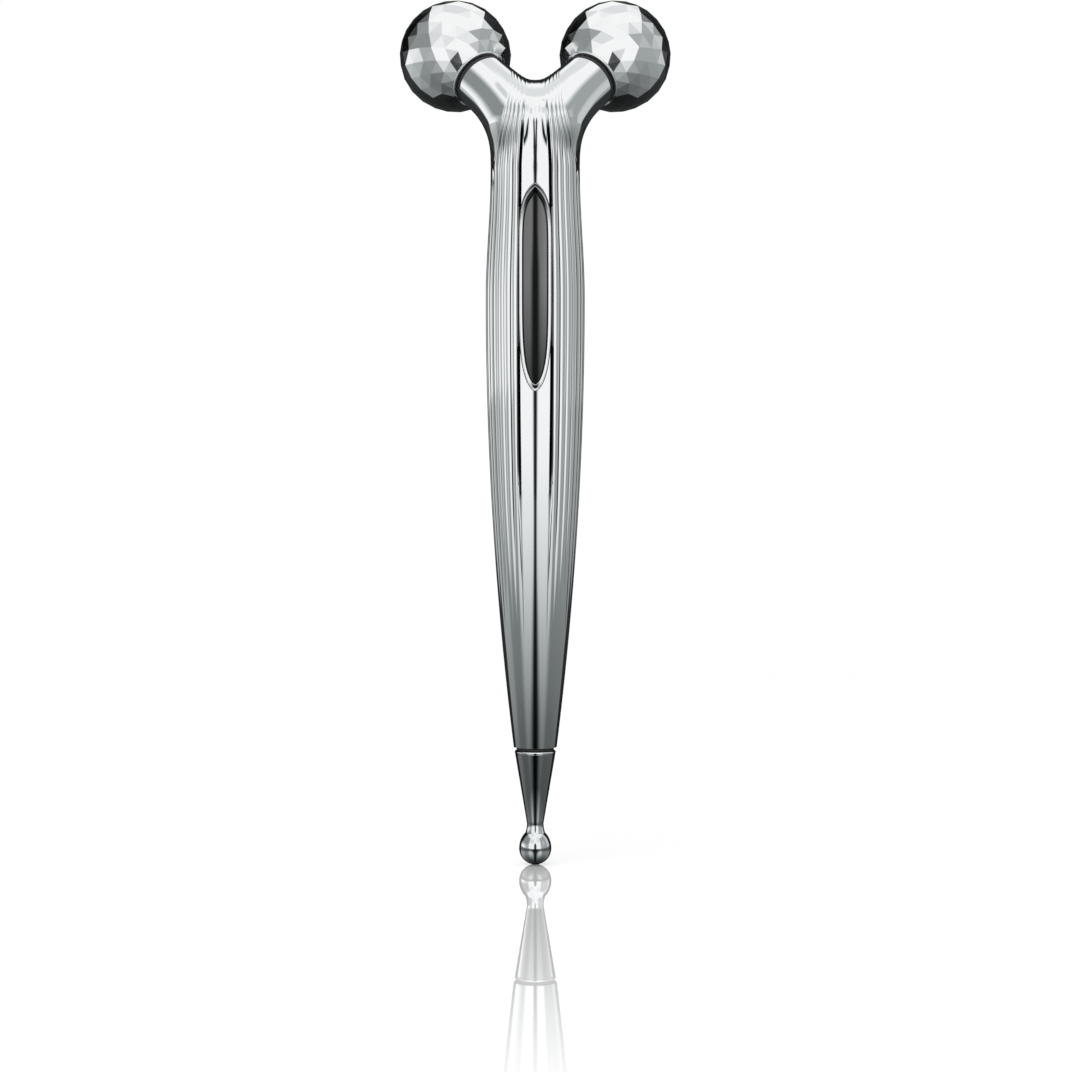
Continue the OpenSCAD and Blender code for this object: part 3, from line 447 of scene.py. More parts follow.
def castSkin(origin, direction, far=20.0, steps=26):
    # where a ray from inside leaves the housing, by halving the interval again and again
    near = np.zeros(np.broadcast(origin[..., 0], direction[..., 0]).shape)
    end = np.full_like(near, far)
    for _ in range(steps):
        half = (near + end) / 2
        inside = housingGap(origin + half[..., None] * direction) < 0
        near, end = np.where(inside, half, near), np.where(inside, end, half)
    return origin + near[..., None] * direction


def skinNormal(p, step=0.01):
    # slope of the distance along each axis
    slope = [housingGap(p + a) - housingGap(p - a) for a in np.eye(3) * step]
    return unit(np.stack(slope, axis=-1))


crotchZ = float(castSkin(np.array([0, handle["crownY"], crownZ]), np.array([0, 0, 1.0]))[2])


def grooveDepth(angle, z, show):
    # depth below the smooth skin at an angle round the handle: lobes between fine grooves,
    # two broad ribs with a soft middle ridge that sharpens in the crown, and a deep seam where
    # broad and fine ribs meet
    a, half, depth = np.abs((angle + 180) % 360 - 180), flutes["broadHalf"], flutes["depth"]
    fine = depth * (2 * (((a - half) / flutes["pitch"]) % 1) - 1) ** 2
    across, soft = np.clip(a / half, 0, 1), flutes["ridgeSoftness"]
    across = (np.hypot(across, soft) - soft) / (math.hypot(1, soft) - soft)
    hollow = flutes["hollow"] * (
        1 + flutes["crownHollow"] * ease((z - flutes["crownFrom"]) / flutes["crownOver"]))
    broad = hollow * 4 * across * (1 - across) + depth * np.clip(across * 5 - 4, 0, 1) ** 2
    width = halfWidth(np.minimum(z, neckZ))
    off = np.radians(a - half) * width * math.cos(math.radians(half))
    seam = flutes["seamDepth"] * (1 - np.clip(np.abs(off) / flutes["seamHalf"], 0, 1) ** 2) ** 2
    deep = ease((z - flutes["seamStartZ"]) / (flutes["seamFullZ"] - flutes["seamStartZ"]))
    return np.where(a < half, broad, fine) * show + seam * deep * show ** 3


def oval(angle, z):
    # point of the smooth handle at an angle from the front and a height
    w, t = halfWidth(z), np.radians(angle)
    return xyz(w * np.sin(t), -w * handle["flatness"] * np.cos(t), z)


def ribSamples(count, crowding=0.75):
    # places across one rib, closer together at its two grooves
    s = np.linspace(0, 1, count, endpoint=False)
    return s - crowding * np.sin(2 * np.pi * s) / (2 * np.pi)


# Net of the skin. A strip over the crotch takes the broad ribs and some fine ribs at each side,
# and climbs, turns and comes down in steps, of which the first and the last ones stay upright.
net = {
    "edgeAngle": 70.0, "outerRibs": 5, "sideRibs": 4, "broadCrowding": 0.8, "steps": 22,
    "uprightSteps": 5, "edgeSteps": 3, "sideSteps": 12, "follow": 0.4, "narrowSoft": 0.08,
}
outerNet = {"handleRows": 84, "crownRows": 88, "armRows": 28, "perRib": 12, "perBroad": 64}
innerNet = {"handleRows": 30, "crownRows": 44, "armRows": 12, "perRib": 2, "perBroad": 8}


def fluteColumns(perRib, perBroad):
    # places across the strip counted in fine ribs, where a broad rib takes two, and the angles of
    # the columns along one side of the handle
    fine, broad = ribSamples(perRib), 2 * ribSamples(perBroad // 2, net["broadCrowding"])
    first = net["outerRibs"]
    outer = np.concatenate([i + fine for i in range(first)])
    across = np.concatenate([outer, first + broad, first + 2 + broad, first + 4 + outer,
                             [2.0 * first + 4]])
    side = np.concatenate([i + fine for i in range(net["sideRibs"])])
    return across, net["edgeAngle"] + flutes["pitch"] * side


def handleRings(angles, rows, relief, inset, foot):
    # rings up the handle: the smooth oval less groove and inset along its outward direction
    z = mix(handle["footZ"] + foot, joinZ, np.linspace(0, 1, rows + 1))[:, None]
    show = ease((z - flutes["startZ"]) / (flutes["fullZ"] - flutes["startZ"]))
    t = np.radians(angles)
    outward = unit(xyz(handle["flatness"] * np.sin(t), -np.cos(t), 0))
    sunk = grooveDepth(angles, z, show) * relief + inset
    return oval(angles, z) - sunk[..., None] * outward


def crownStrip(across, frontAngle, rearAngle, rows):
    # smooth skin over the crotch and its grooves: rays lead forwards while their start climbs,
    # turn by half a circle at the top and lead backwards on the way down, and the strip narrows
    # as it rises
    upright = rows * net["uprightSteps"] // net["steps"]
    k = np.arange(rows + 1)[:, None]
    fromEnd = np.minimum(k, rows - k)
    turn = np.pi * np.clip((k - upright) / (rows - 2 * upright), 0, 1)
    zRay = mix(joinZ, crownZ, np.minimum(fromEnd, upright) / upright)
    zWide = zRay + (crotchZ - crownZ) * np.sin(turn)
    rising, soft = np.maximum((zWide - neckZ) / (crotchZ - neckZ), 0), net["narrowSoft"]
    width = mix(halfWidth(np.minimum(zWide, neckZ)), fork["stripTop"],
                rising ** 2 * (1 + soft) / (rising + soft))
    over = ease(k / rows)
    side = mix(np.sin(np.radians(frontAngle)), np.sin(np.radians(rearAngle)), over)
    lift = ease((zRay - joinZ) / (crownZ - joinZ))
    origin = xyz(width * side, handle["crownY"] * lift, zRay)
    skin = castSkin(origin, xyz(0, -np.cos(turn), np.sin(turn)))
    height = skin[..., 2]
    fade = 1 - (1 - flutes["crownLeft"]) * ease((height - crownZ) / (crotchZ - crownZ))
    edgeFade = mix(ease(2 * np.minimum(across, across[-1] - across)), 1.0,
                   1 - ease(fromEnd * net["steps"] / rows / net["edgeSteps"]))
    depth = mix(grooveDepth(frontAngle, height, fade), grooveDepth(rearAngle, height, fade), over)
    return skin, depth * edgeFade


def armAngle(p):
    # angle of a point round the arm's axis
    return np.degrees(np.arctan2((p - armEnd) @ bendSide, (p - armEnd) @ bendDir))


def armPatch(sideAngle, stripEdge, rows, endAt):
    # smooth skin of the right arm and its grooves: a loop round the neck's side and the strip's
    # edge is blended row by row into the ring at the arm's end, with rays from a core between
    # them; each column goes part of the way from an even angle to its own
    loop = np.concatenate([oval(sideAngle, np.array(joinZ)), stripEdge])
    crownRows = len(stripEdge) + 1
    sidePlace = (sideAngle - net["edgeAngle"]) * net["sideSteps"] / (180 - 2 * net["edgeAngle"])
    upPlace = net["sideSteps"] + np.arange(1, crownRows) * net["steps"] / crownRows
    even = ((np.concatenate([sidePlace, upPlace]) - net["sideSteps"] / 2) * 360
            / (net["sideSteps"] + net["steps"]))
    low = armAngle(oval(90.0, np.array(joinZ)))
    seen = armAngle(loop) - low
    a = np.radians(low + mix(even, seen + 360 * np.round((even - seen) / 360), net["follow"]))
    ringEnd = endAt + fork["armWidth"] / 2 * (np.cos(a)[:, None] * bendDir
                                              + np.sin(a)[:, None] * bendSide)
    r = np.linspace(0, 1, rows + 1)[1:, None, None]
    origin = mix(np.array([handle["neckWidth"] / 4, handle["crownY"], crownZ]), endAt, r)
    skin = castSkin(origin + 0 * loop, unit(mix(loop, ringEnd, r) - origin))
    depth = np.zeros(skin.shape[:2])
    depth[:, :len(sideAngle)] = grooveDepth(sideAngle, joinZ, 1 - ease(3 * r[:, :, 0]))
    return skin, depth


def joinSkins(rings, strip, patch, foot, endAt):
    # one closed skin: strip and patches take their first corners from the pieces that they grow
    # from, the left patch mirrors the right one, and fans close the foot and the arms' ends
    ringCorners = gridCorners(rings)
    top, nStrip = ringCorners[-1], strip.shape[1] - 1
    nSide = len(top) // 2 - nStrip
    stripCorners = gridCorners(strip) + ringCorners.size - (nStrip + 1)
    stripCorners[0] = top[:nStrip + 1]
    stripCorners[-1] = top[nStrip + nSide + np.arange(nStrip, -1, -1)]
    base = ringCorners.size + strip[1:-1, :, 0].size
    inner = stripCorners[-2:0:-1]
    rightLoop = np.concatenate([top[nStrip:nStrip + nSide + 1], inner[:, -1]])
    leftLoop = np.concatenate([np.append(top[2 * nStrip + nSide:], top[0])[::-1], inner[:, 0]])
    patchCorners = base + gridCorners(patch)
    rightCorners = np.vstack([rightLoop, patchCorners])
    leftCorners = np.vstack([leftLoop, patchCorners + patchCorners.size])
    tip = base + 2 * patchCorners.size
    points = np.concatenate([
        rings.reshape(-1, 3), strip[1:-1].reshape(-1, 3), patch.reshape(-1, 3),
        (patch * mirrorX).reshape(-1, 3), [[0, 0, handle["footZ"] + foot]], [endAt],
        [endAt * mirrorX]])
    faces = np.concatenate([
        gridFaces(ringCorners, True), gridFaces(stripCorners), gridFaces(rightCorners, True),
        gridFaces(leftCorners, True)[:, ::-1]]).tolist()
    for rim, middle, swap in ((ringCorners[0], tip, True), (rightCorners[-1], tip + 1, False),
                              (leftCorners[-1], tip + 2, True)):
        fan = np.stack([rim, np.roll(rim, -1), np.full(len(rim), middle)], axis=-1)
        faces += (fan[:, ::-1] if swap else fan).tolist()
    return points, faces


def buildHousing(rows, relief=True, inset=0.0, foot=0.0, back=0.0):
    # rings up the handle, a strip over the crotch whose columns follow the flutes, and on each
    # side a patch that grows from neck and strip edge to the arm's end
    across, side = fluteColumns(rows["perRib"], rows["perBroad"])
    frontAngle = flutes["pitch"] * across - net["edgeAngle"]
    rearAngle = 180 + net["edgeAngle"] - flutes["pitch"] * across
    angles = np.concatenate([frontAngle[:-1], side, rearAngle[::-1][:-1], side + 180])
    endAt = armEnd - back * spinAxis
    rings = handleRings(angles, rows["handleRows"], relief, inset, foot)
    skin, depth = crownStrip(across, frontAngle, rearAngle, rows["crownRows"])
    strip = skin - (depth * relief + inset)[..., None] * skinNormal(skin)
    side = np.append(side, 180 - net["edgeAngle"])
    skin, depth = armPatch(side, skin[-2:0:-1, -1], rows["armRows"], endAt)
    patch = skin - (depth * relief + inset)[..., None] * skinNormal(skin)
    return joinSkins(rings, strip, patch, foot, endAt)


lean = spinAxis[1] / spinAxis[2]
leanZ = armEnd[2] - armEnd[1] / lean


def halfShell(name, points, faces, side):
    # The parting surface stands upright in the handle and leans back through both axles. In a
    # space sheared by that lean it is one plane, where the skin is cut and the cut is closed.
    # The side is -1 for the front half and 1 for the rear half.
    sheared = points.copy()
    sheared[:, 1] -= lean * np.maximum(points[:, 2] - leanZ, 0)
    obj = makeObject(name, sheared, faces)
    bm = bmesh.new()
    bm.from_mesh(obj.data)
    bmesh.ops.bisect_plane(
        bm, geom=bm.verts[:] + bm.edges[:] + bm.faces[:], dist=1e-8, clear_outer=True,
        plane_co=(0, side * handle["partingGap"] / 2 * mm, 0), plane_no=(0, -side, 0))
    rim = [e for e in bm.edges if len(e.link_faces) == 1]
    bmesh.ops.triangle_fill(bm, edges=rim, use_beauty=True, use_dissolve=False,
                            normal=(0, -side, 0))
    bm.to_mesh(obj.data)
    bm.free()
    leaning = pointsOf(obj)
    leaning[:, 1] += lean * np.maximum(leaning[:, 2] - leanZ, 0)
    obj.data.vertices.foreach_set("co", (leaning * mm).ravel())
    return obj


outerPoints, outerFaces = buildHousing(outerNet)
innerPoints, innerFaces = buildHousing(innerNet, relief=False, inset=handle["wall"],
                                       foot=handle["floorZ"] - handle["footZ"], back=1.0)
shellPoints = np.concatenate([outerPoints, innerPoints])
shellFaces = outerFaces + [[i + len(outerPoints) for i in f[::-1]] for f in innerFaces]
print("stage: housing skin,", len(shellPoints), "points")
frontShell = halfShell("frontShell", shellPoints, shellFaces, -1)
rearShell = halfShell("rearShell", shellPoints, shellFaces, 1)
print("stage: shells split")

# Light panel in the front.
panel = {
    "widestZ": 97.3, "up": 11.1, "down": 19.3, "width": 4.0, "footPower": 0.6, "topPower": 0.8,
    "bezel": (0.62, 1.2, 1.8), "opening": 0.05, "windowGap": -0.08, "bezelGap": (-0.05, 0.1),
    "seatDepth": 1.5, "bezelSink": 0.06, "slopes": (0.1, 0.34, 0.62), "lip": 0.32,
    # the channel is how far the painted shade at the bezel's top reaches past the lip
    "rounding": 0.06, "lipRows": (5, 23), "lipShare": 0.12, "channel": 0.12, "windowSink": 0.32,
    "windowRounding": 0.06, "windowColumns": 33, "steps": 48, "cutY": (-12.0, -4.0),
}
seatY = panel["seatDepth"] - handle["bellyWidth"] / 2 * handle["flatness"]
# Painted shade in the grooves by depth: each share, its start and its range, less in mid crown.
grooveShade = {
    "shares": ((0.72, 0.13, 0.07), (0.28, 0.24, 0.16)), "clearZ": 118.5, "clearRise": 2.5,
    "clearHalf": 2.4, "clearSoft": 0.4,
}


def lensOutline(grow=(0, 0, 0), gap=0.0):
    # right half of a lens outline grown at its sides, foot and top, then by a gap all round: the
    # half width falls as (1 - q^5) to a power, which is lower at the rounder foot
    half, widest = panel["width"] / 2 + grow[0] + gap, panel["widestZ"]
    down, up = panel["down"] + grow[1] + gap, panel["up"] + grow[2] + gap
    t = np.linspace(0, np.pi / 2, panel["steps"] + 1)
    z = widest + np.concatenate([-down * np.cos(t), up * np.sin(t[1:])])
    high = z > widest
    q = np.where(high, (z - widest) / up, (widest - z) / down)
    power = np.where(high, panel["topPower"], panel["footPower"])
    return half * np.maximum(1 - q ** 5, 0) ** power, z


def closeOutline(x, z):
    # the left half added to the right half, point for point
    return np.concatenate([x, -x[-2:0:-1]]), np.concatenate([z, z[-2:0:-1]])


def onSkin(x, z, sink):
    # the handle's skin above a flat place, sunk by a depth
    w = halfWidth(z)
    return xyz(x, -(w * handle["flatness"] - sink) * np.sqrt(1 - (x / (w - sink)) ** 2), z)


def cutPanel(obj):
    # the opening for bezel and window, cut through the front
    x, z = closeOutline(*lensOutline(panel["bezel"], panel["opening"]))
    grid = np.stack([xyz(x, y, z) for y in panel["cutY"]])
    corners = gridCorners(grid)
    ends = [corners[0].tolist(), corners[1][::-1].tolist()]
    cutter = makeObject("panelCutter", grid.reshape(-1, 3),
                        gridFaces(corners, True).tolist() + ends)
    finishMesh(cutter, weld=0)
    step = obj.modifiers.new("opening", "BOOLEAN")
    step.operation, step.object, step.solver = "DIFFERENCE", cutter, "EXACT"
    applyModifiers(obj)
    bpy.data.objects.remove(cutter)


def grooveShadeMask(points):
    # how much painted shade darkens each point: shares that grow with the depth below the
    # smooth skin, less a part in the middle of the crown
    sunk = -housingGap(points)
    mask = sum(share * ease((sunk - start) / over) for share, start, over in grooveShade["shares"])
    clear = (ease((points[:, 2] - grooveShade["clearZ"]) / grooveShade["clearRise"])
             * ease((grooveShade["clearHalf"] - np.abs(points[:, 0])) / grooveShade["clearSoft"]))
    return mask * (1 - clear)


cutPanel(frontShell)
print("stage: panel opening")
for obj, node in ((frontShell, "front_shell"), (rearShell, "rear_shell")):
    finishMesh(obj, weld=0, recalculate=False)
    # painted shade: the groove attribute darkens the chrome with depth below the smooth skin
    paintPoints(obj, "groove", "FLOAT", grooveShadeMask(pointsOf(obj)))
    addPiece(obj, "handle", "polished_chrome", node)


def buildBezel():
    # a ring between two lens outlines: its face slopes down to a bright lip, gently at the sides
    # and steeply at both ends, with rounded edges, a flat back and painted shade in its top channel
    outer = np.stack(closeOutline(*lensOutline(panel["bezel"], panel["bezelGap"][0])))
    inner = np.stack(closeOutline(*lensOutline(gap=panel["bezelGap"][1])))
    few, many = panel["lipRows"]
    place = np.concatenate([np.linspace(0, panel["lipShare"], few),
                            np.linspace(panel["lipShare"], 1, many)[1:]])
    x, z = mix(outer[:, None, :], inner[:, None, :], place[None, :, None])
    high = outer[1] > panel["widestZ"]
    reach = np.where(high, panel["up"], panel["down"])
    ends = ease(2 * np.abs(outer[1] - panel["widestZ"]) / reach - 1)
    sides, foot, top = panel["slopes"]
    slope = mix(sides, np.where(high, top, foot), ends) * ease(place / panel["lip"])[:, None]
    edge = np.maximum(1 - 8 * place, 0) ** 2 + np.maximum(8 * place - 7, 0) ** 2
    face = onSkin(x, z, panel["bezelSink"] + slope + panel["rounding"] * edge[:, None])
    back = face[[-1, 0]] * [1, 0, 1] + [0, seatY, 0]
    grid = np.concatenate([face, back, face[:1]])
    obj = makeGrid("panelBezel", grid, True)
    # painted shade: the top channel beyond the lip is darkened through the groove attribute
    dark = np.zeros(grid.shape[:2])
    dark[:len(place)] = (np.where(high, ends, 0)
                         * ease((place[:, None] - panel["lip"]) / panel["channel"]))
    paintPoints(obj, "groove", "FLOAT", dark)
    return finishMesh(obj, sharp=40)


def buildWindow():
    # a lens whose face follows the skin between its left and right edge, on a flat back
    x, z = lensOutline(gap=panel["windowGap"])
    across = np.sin(np.linspace(-np.pi / 2, np.pi / 2, panel["windowColumns"]))
    rim = np.maximum(np.abs(across) - 0.9, 0) * 10
    edge = panel["windowRounding"] * (1 - np.sqrt(1 - rim ** 2))
    face = onSkin(x[:, None] * across, z[:, None], panel["windowSink"] + edge)
    back = face * [1, 0, 1] + [0, seatY, 0]
    grid = np.concatenate([face, back[:, ::-1]], axis=1)
    return finishMesh(makeGrid("panelWindow", grid, True), sharp=40)


addPiece(buildBezel(), "handle", "trim_chrome", "panel_bezel", coat="bezel_chrome")
addPiece(buildWindow(), "handle", "dark_window", "panel_window")
print("stage: light panel")

# Point at the foot, with its collar and its dark ring.
point = {
    "ball": 5.24, "rise": 3.2, "shoulder": 52.0, "neck": 2.7, "neckZ": 6.7, "neckTurn": 0.45,
    "coneTop": 6.55, "collar": 6.64, "collarHeight": 0.55, "sealHeight": 0.55, "sealSet": 0.3,
    "stud": 2.72,
}
sealZ = handle["footZ"] - point["sealHeight"]
collarZ = sealZ - point["collarHeight"]


def lathe(name, radius, height, place=None, around=96):
    # a profile of radii and heights turned once round its axis
    t = np.linspace(0, 2 * np.pi, around, endpoint=False)
    grid = ringed(radius[:, None], t, height[:, None])
    return finishMesh(makeGrid(name, place(grid) if place else grid, True), sharp=40)


def softRing(outer, inner, low, height, steps=9, softness=0.42):
    # closed profile of a flat ring whose outer edges are rounded by a share of its height
    r = height * softness
    a = np.linspace(0, np.pi / 2, steps)
    radius = np.concatenate([[inner / 2], outer / 2 - r + r * np.sin(a),
                             outer / 2 - r + r * np.cos(a), [inner / 2], [inner / 2]])
    z = np.concatenate([[0], r - r * np.cos(a), height - r + r * np.sin(a), [height], [0]])
    return radius, low + z


def pointProfile():
    # half sphere, taller half oval, a hollow curve into the neck, a straight cone, a flat top
    r, neck, cut = point["ball"] / 2, point["neck"] / 2, math.radians(point["shoulder"])
    a = np.linspace(-np.pi / 2, 0, 25)
    b = np.linspace(0, cut, 17)[1:]
    shoulder = np.array([r * math.cos(cut), r + point["rise"] * math.sin(cut)])
    turnZ = mix(shoulder[1], point["neckZ"], point["neckTurn"])
    t = np.linspace(0, 1, 13)[1:, None]
    hollow = ((1 - t) ** 2 * shoulder + 2 * (1 - t) * t * np.array([neck, turnZ])
              + t ** 2 * np.array([neck, point["neckZ"]]))
    cone = np.linspace(0, 1, 24)[1:]
    radius = np.concatenate([r * np.cos(a), r * np.cos(b), hollow[:, 0],
                             mix(neck, point["coneTop"] / 2, cone), [0]])
    z = np.concatenate([r + r * np.sin(a), r + point["rise"] * np.sin(b), hollow[:, 1],
                        mix(point["neckZ"], collarZ, cone), [collarZ]])
    return radius, z


collarRing = softRing(point["collar"], point["stud"], collarZ, point["collarHeight"])
sealRing = softRing(point["collar"] - 2 * point["sealSet"], point["stud"], sealZ,
                    point["sealHeight"])
for name, profile, slot, node in (("pointTip", pointProfile(), "point_chrome", "point_tip"),
                                  ("tipCollar", collarRing, "trim_chrome", "tip_collar"),
                                  ("tipSeal", sealRing, "black_seal", "tip_seal")):
    addPiece(lathe(name, *profile), "handle", slot, node)
print("stage: point")

# Balls with their bright rims, and the black rings on the arms.
polar, around = math.acos(spinAxis[2]), math.atan2(spinAxis[1], spinAxis[0])
axisFrame = np.array([
    [math.cos(polar) * math.cos(around), math.cos(polar) * math.sin(around), -math.sin(polar)],
    [-math.sin(around), math.cos(around), 0],
    spinAxis,
])


def onAxis(left):
    # local points carried to the ball's axis, mirrored for the left one
    return lambda p: (ballAt + p @ axisFrame) * (mirrorX if left else 1.0)


def buildBall(name, left):
    # rows of flat triangles: every other ring of corners is turned by half a facet, then the
    # flat mouth and the bore for the hub
    n, rows = roller["around"], roller["rows"]
    k = np.arange(rows + 1)[:, None]
    turn = 2 * np.pi * (np.arange(n)[None, :] + (k % 2) / 2) / n
    theta = mix(math.radians(roller["poleAngle"]), math.acos(2 * mouthW / roller["diameter"]),
                k / rows)
    r = roller["diameter"] / 2
    bore = [ringed(roller["bore"], turn[0], w) for w in (mouthW, roller["boreEnd"])]
    grid = np.concatenate([ringed(r * np.sin(theta), turn, r * np.cos(theta)), np.stack(bore)])
    corners = gridCorners(grid)
    a, b = corners[:rows], np.roll(corners[:rows], -1, axis=1)
    c, d = corners[1:rows + 1], np.roll(corners[1:rows + 1], -1, axis=1)
    even = (np.arange(rows) % 2 == 0)[:, None, None]
    first = np.where(even, np.stack([a, b, c], -1), np.stack([a, d, c], -1))
    second = np.where(even, np.stack([b, d, c], -1), np.stack([a, b, d], -1))
    faces = first.reshape(-1, 3).tolist() + second.reshape(-1, 3).tolist()
    faces += gridFaces(corners[rows:], True)[:, ::-1].tolist()
    faces += [corners[0].tolist(), corners[-1].tolist()]
    obj = makeObject(name, onAxis(left)(grid.reshape(-1, 3)), faces)
    finishMesh(obj, smooth=False)
    bevel = obj.modifiers.new("edges", "BEVEL")
    bevel.width, bevel.segments, bevel.limit_method = roller["edge"] * mm, 1, "ANGLE"
    bevel.angle_limit = math.radians(roller["bevelFrom"])
    applyModifiers(obj)
    obj.data.polygons.foreach_set("use_smooth", np.full(len(obj.data.polygons), False))
    return obj


rimRing = softRing(roller["mouth"], roller["rimBore"], rimW, roller["rim"])
armRing = softRing(fork["armWidth"], roller["sealBore"], armEndW, roller["seal"])
for label, left in (("right", False), ("left", True)):
    body, place = label + "_roller", onAxis(left)
    addPiece(buildBall(label + "Ball", left), body, "cut_chrome", label + "_ball")
    addPiece(lathe(label + "Rim", *rimRing, place), body, "trim_chrome", label + "_ball_rim")
    addPiece(lathe(label + "ArmSeal", *armRing, place), "handle", "black_seal",
             label + "_arm_seal")
print("stage: balls")

# The nodes that stay take their materials by the record's slots.
stayingNodes = {
    "panel_gasket": "black_seal", "solar_cell": "cell", "contact_pins": "gilt_contact",
    "circuit_board": "board", "board_parts": "chip_black", "contact_leaf": "gilt_contact",
    "yoke_frame": "zinc_frame", "frame_screws": "steel", "handle_weight": "weight_steel",
    "tip_stud": "steel",
}
sideNodes = {
    "_axle": "steel", "_washer": "steel", "_clip": "steel", "_hub": "hub_plastic",
    "_inner_bush": "bush_bronze", "_outer_bush": "bush_bronze",
}
for side in ("right", "left"):
    stayingNodes.update({side + ending: slot for ending, slot in sideNodes.items()})
for name, slot in stayingNodes.items():
    coverWith(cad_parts[name], materials[slot])
print("stage: inner nodes")

# Studio: a white room, a board in front and a table that only reflections see, and a pale floor.
# Each patch of the room has a tone, and where it lies round the room and up it, as from, to and
# softness in degrees.
studio = {
    "radius": 2400.0, "centreZ": 75.0, "lowest": -4.0, "tableZ": -2.0,
    "patches": (
        (0.39, (43, 98, 9), (-99, 48, 16)), (0.62, (98, 150, 7), (-99, 48, 16)),
        (0.29, (-150, -50, 14), (9, 48, 16)), (0.32, (-150, -111, 12), (8, 48, 12)),
        (0.78, (-46, -12, 9), (24, 44, 9)), (0.84, (14, 40, 9), (30, 54, 9)),
        (0.7, (-64, -38, 8), (60, 74, 6)), (1.35, (58, 76, 8), (10, 30, 8)),
    ),
    "leftLow": (0.42, (-150, -50, 14), (-99, 9, 12)), "leftFade": (-97.0, 36.0),
    "behind": (121.0, 400.0, 7.0), "behindTop": 37.0, "behindRise": 0.22, "behindSoft": 8.0,
    "behindTone": 0.025, "behindHigh": (0.8, (56, 84, 14)),
    "boardAt": 452.0, "boardHalf": 104.0, "boardTop": 60.0, "boardNarrow": (140.0, 60.0),
    "boardFade": (190.0, 60.0), "boardBlack": 0.24, "boardTone": 0.012,
}
# Table: brightness in front and aside at distances from the foot, and the black strip's half
# angle at its own distances.
table = {
    "places": (0, 3, 8, 14, 20, 30, 50, 80, 110, 160, 230, 300, 400, 600, 900, 1600),
    "inFront": (0.02, 0.06, 0.6, 0.7, 0.5, 0.1, 0.15, 0.24, 0.34, 0.48, 0.63, 0.75, 0.85, 0.95,
                1.0, 1.0),
    "aside": (0.02, 0.05, 0.25, 0.25, 0.16, 0.085, 0.1, 0.13, 0.17, 0.2, 0.24, 0.28, 0.32, 0.36,
              0.39, 0.4),
    "stripPlaces": (0, 4, 9, 16, 30, 60, 80, 110, 150, 250, 2400),
    "stripHalf": (8, 9, 14, 23, 20, 16.5, 14.5, 10.5, 8.2, 6.6, 6.6),
    "front": (-99, 43, 20), "leftGlow": (1.5, (-127, -84, 16)), "behindTone": 0.1,
    "stripTone": 0.02, "stripSoft": (0.3, 1.5), "near": 900.0, "rings": (1400.0, 2400.0),
}
# Floor: how far its mirror and its own edge reach, in millimetres from the foot.
ground = {
    "radius": 420.0, "fadeFrom": 60.0, "fadeShare": 0.98, "mirrorFade": (85.0, 160.0),
    "mirrorMore": 0.3, "glow": 0.11, "grain": {"Grain Scale": 900.0, "Patch Scale": 12.0},
    "dark": (0.955, 0.957, 0.958), "light": (0.965, 0.966, 0.967),
    "shader": {"Emission Color": (1, 1, 1, 1), "Roughness": 0.0, "Specular IOR Level": 0.0,
               "Coat Roughness": 0.0, "Coat IOR": 1.9},
}
lamp = {
    "power": 3.3, "size": 0.7, "place": (-0.35, -0.45, 0.95), "tilt": 27.0, "turn": -38.0,
    "roomLight": 0.78,
}


def within(x, low, high, soft):
    # 1 between low and high, with soft ends
    return ease((x - low) / soft + 0.5) * ease((high - x) / soft + 0.5)


def roomShade(azimuth, elevation):
    # brightness of the room by direction: white, times the tones of soft grey patches, and black
    # behind up to a soft edge
    shade = np.ones_like(azimuth)
    for tone, across, up in studio["patches"]:
        shade = shade * mix(1.0, tone, within(azimuth, *across) * within(elevation, *up))
    tone, across, up = studio["leftLow"]
    start, over = studio["leftFade"]
    low = ease((azimuth - start) / over) * within(azimuth, *across) * within(elevation, *up)
    a = np.abs(azimuth)
    edge = studio["behindTop"] + (180 - a) * studio["behindRise"]
    behind = within(a, *studio["behind"])
    dark = behind * ease((edge - elevation) / studio["behindSoft"] + 0.5)
    highTone, high = studio["behindHigh"]
    return (shade * mix(1.0, tone, low) * mix(1.0, studio["behindTone"], dark)
            * mix(1.0, highTone, behind * within(elevation, *high)))


def boardTone(x, z):
    # brightness of the board in front: black in its middle, white towards its sides and its top
    start, fade = studio["boardFade"]
    narrowFrom, narrowOver = studio["boardNarrow"]
    edge = mix(studio["boardHalf"], studio["boardTop"], ease((z - narrowFrom) / narrowOver))
    black = studio["boardBlack"]
    middle = 1 - ease((np.abs(x) / edge - black) / (1 - black))
    return mix(1.0, studio["boardTone"], middle * (1 - ease((z - start) / fade)))


def tableTone(radius, azimuth):
    # brightness of the table by distance from the foot: one course in front and one aside, and
    # black behind and along a strip in front
    inFront, aside = (np.interp(radius, table["places"], table[key])
                      for key in ("inFront", "aside"))
    half = np.interp(radius, table["stripPlaces"], table["stripHalf"])
    a = np.abs(azimuth)
    glowTone, glowAt = table["leftGlow"]
    start, over = table["stripSoft"]
    return (mix(aside, inFront, within(a, *table["front"]))
            * mix(1.0, glowTone, within(azimuth, *glowAt))
            * mix(1.0, table["behindTone"], within(a, *studio["behind"]))
            * mix(1.0, table["stripTone"], 1 - ease((a / half - start) / over)))


def emissionMaterial(name):
    # a surface that glows by its own painted shade, and is plain white in the floor's mirror
    material = bpy.data.materials.new(name)
    material.use_nodes = True
    tree = material.node_tree
    tree.nodes.clear()
    shade = addNode(tree, "ShaderNodeAttribute", attribute_name="shade").outputs["Color"]
    single = tree.nodes.new("ShaderNodeLightPath").outputs["Is Singular Ray"]
    glow = addNode(tree, "ShaderNodeEmission", {
        "Color": colourNode(tree, single, shade, (1, 1, 1))}).outputs["Emission"]
    addNode(tree, "ShaderNodeOutputMaterial", {"Surface": glow})
    return material


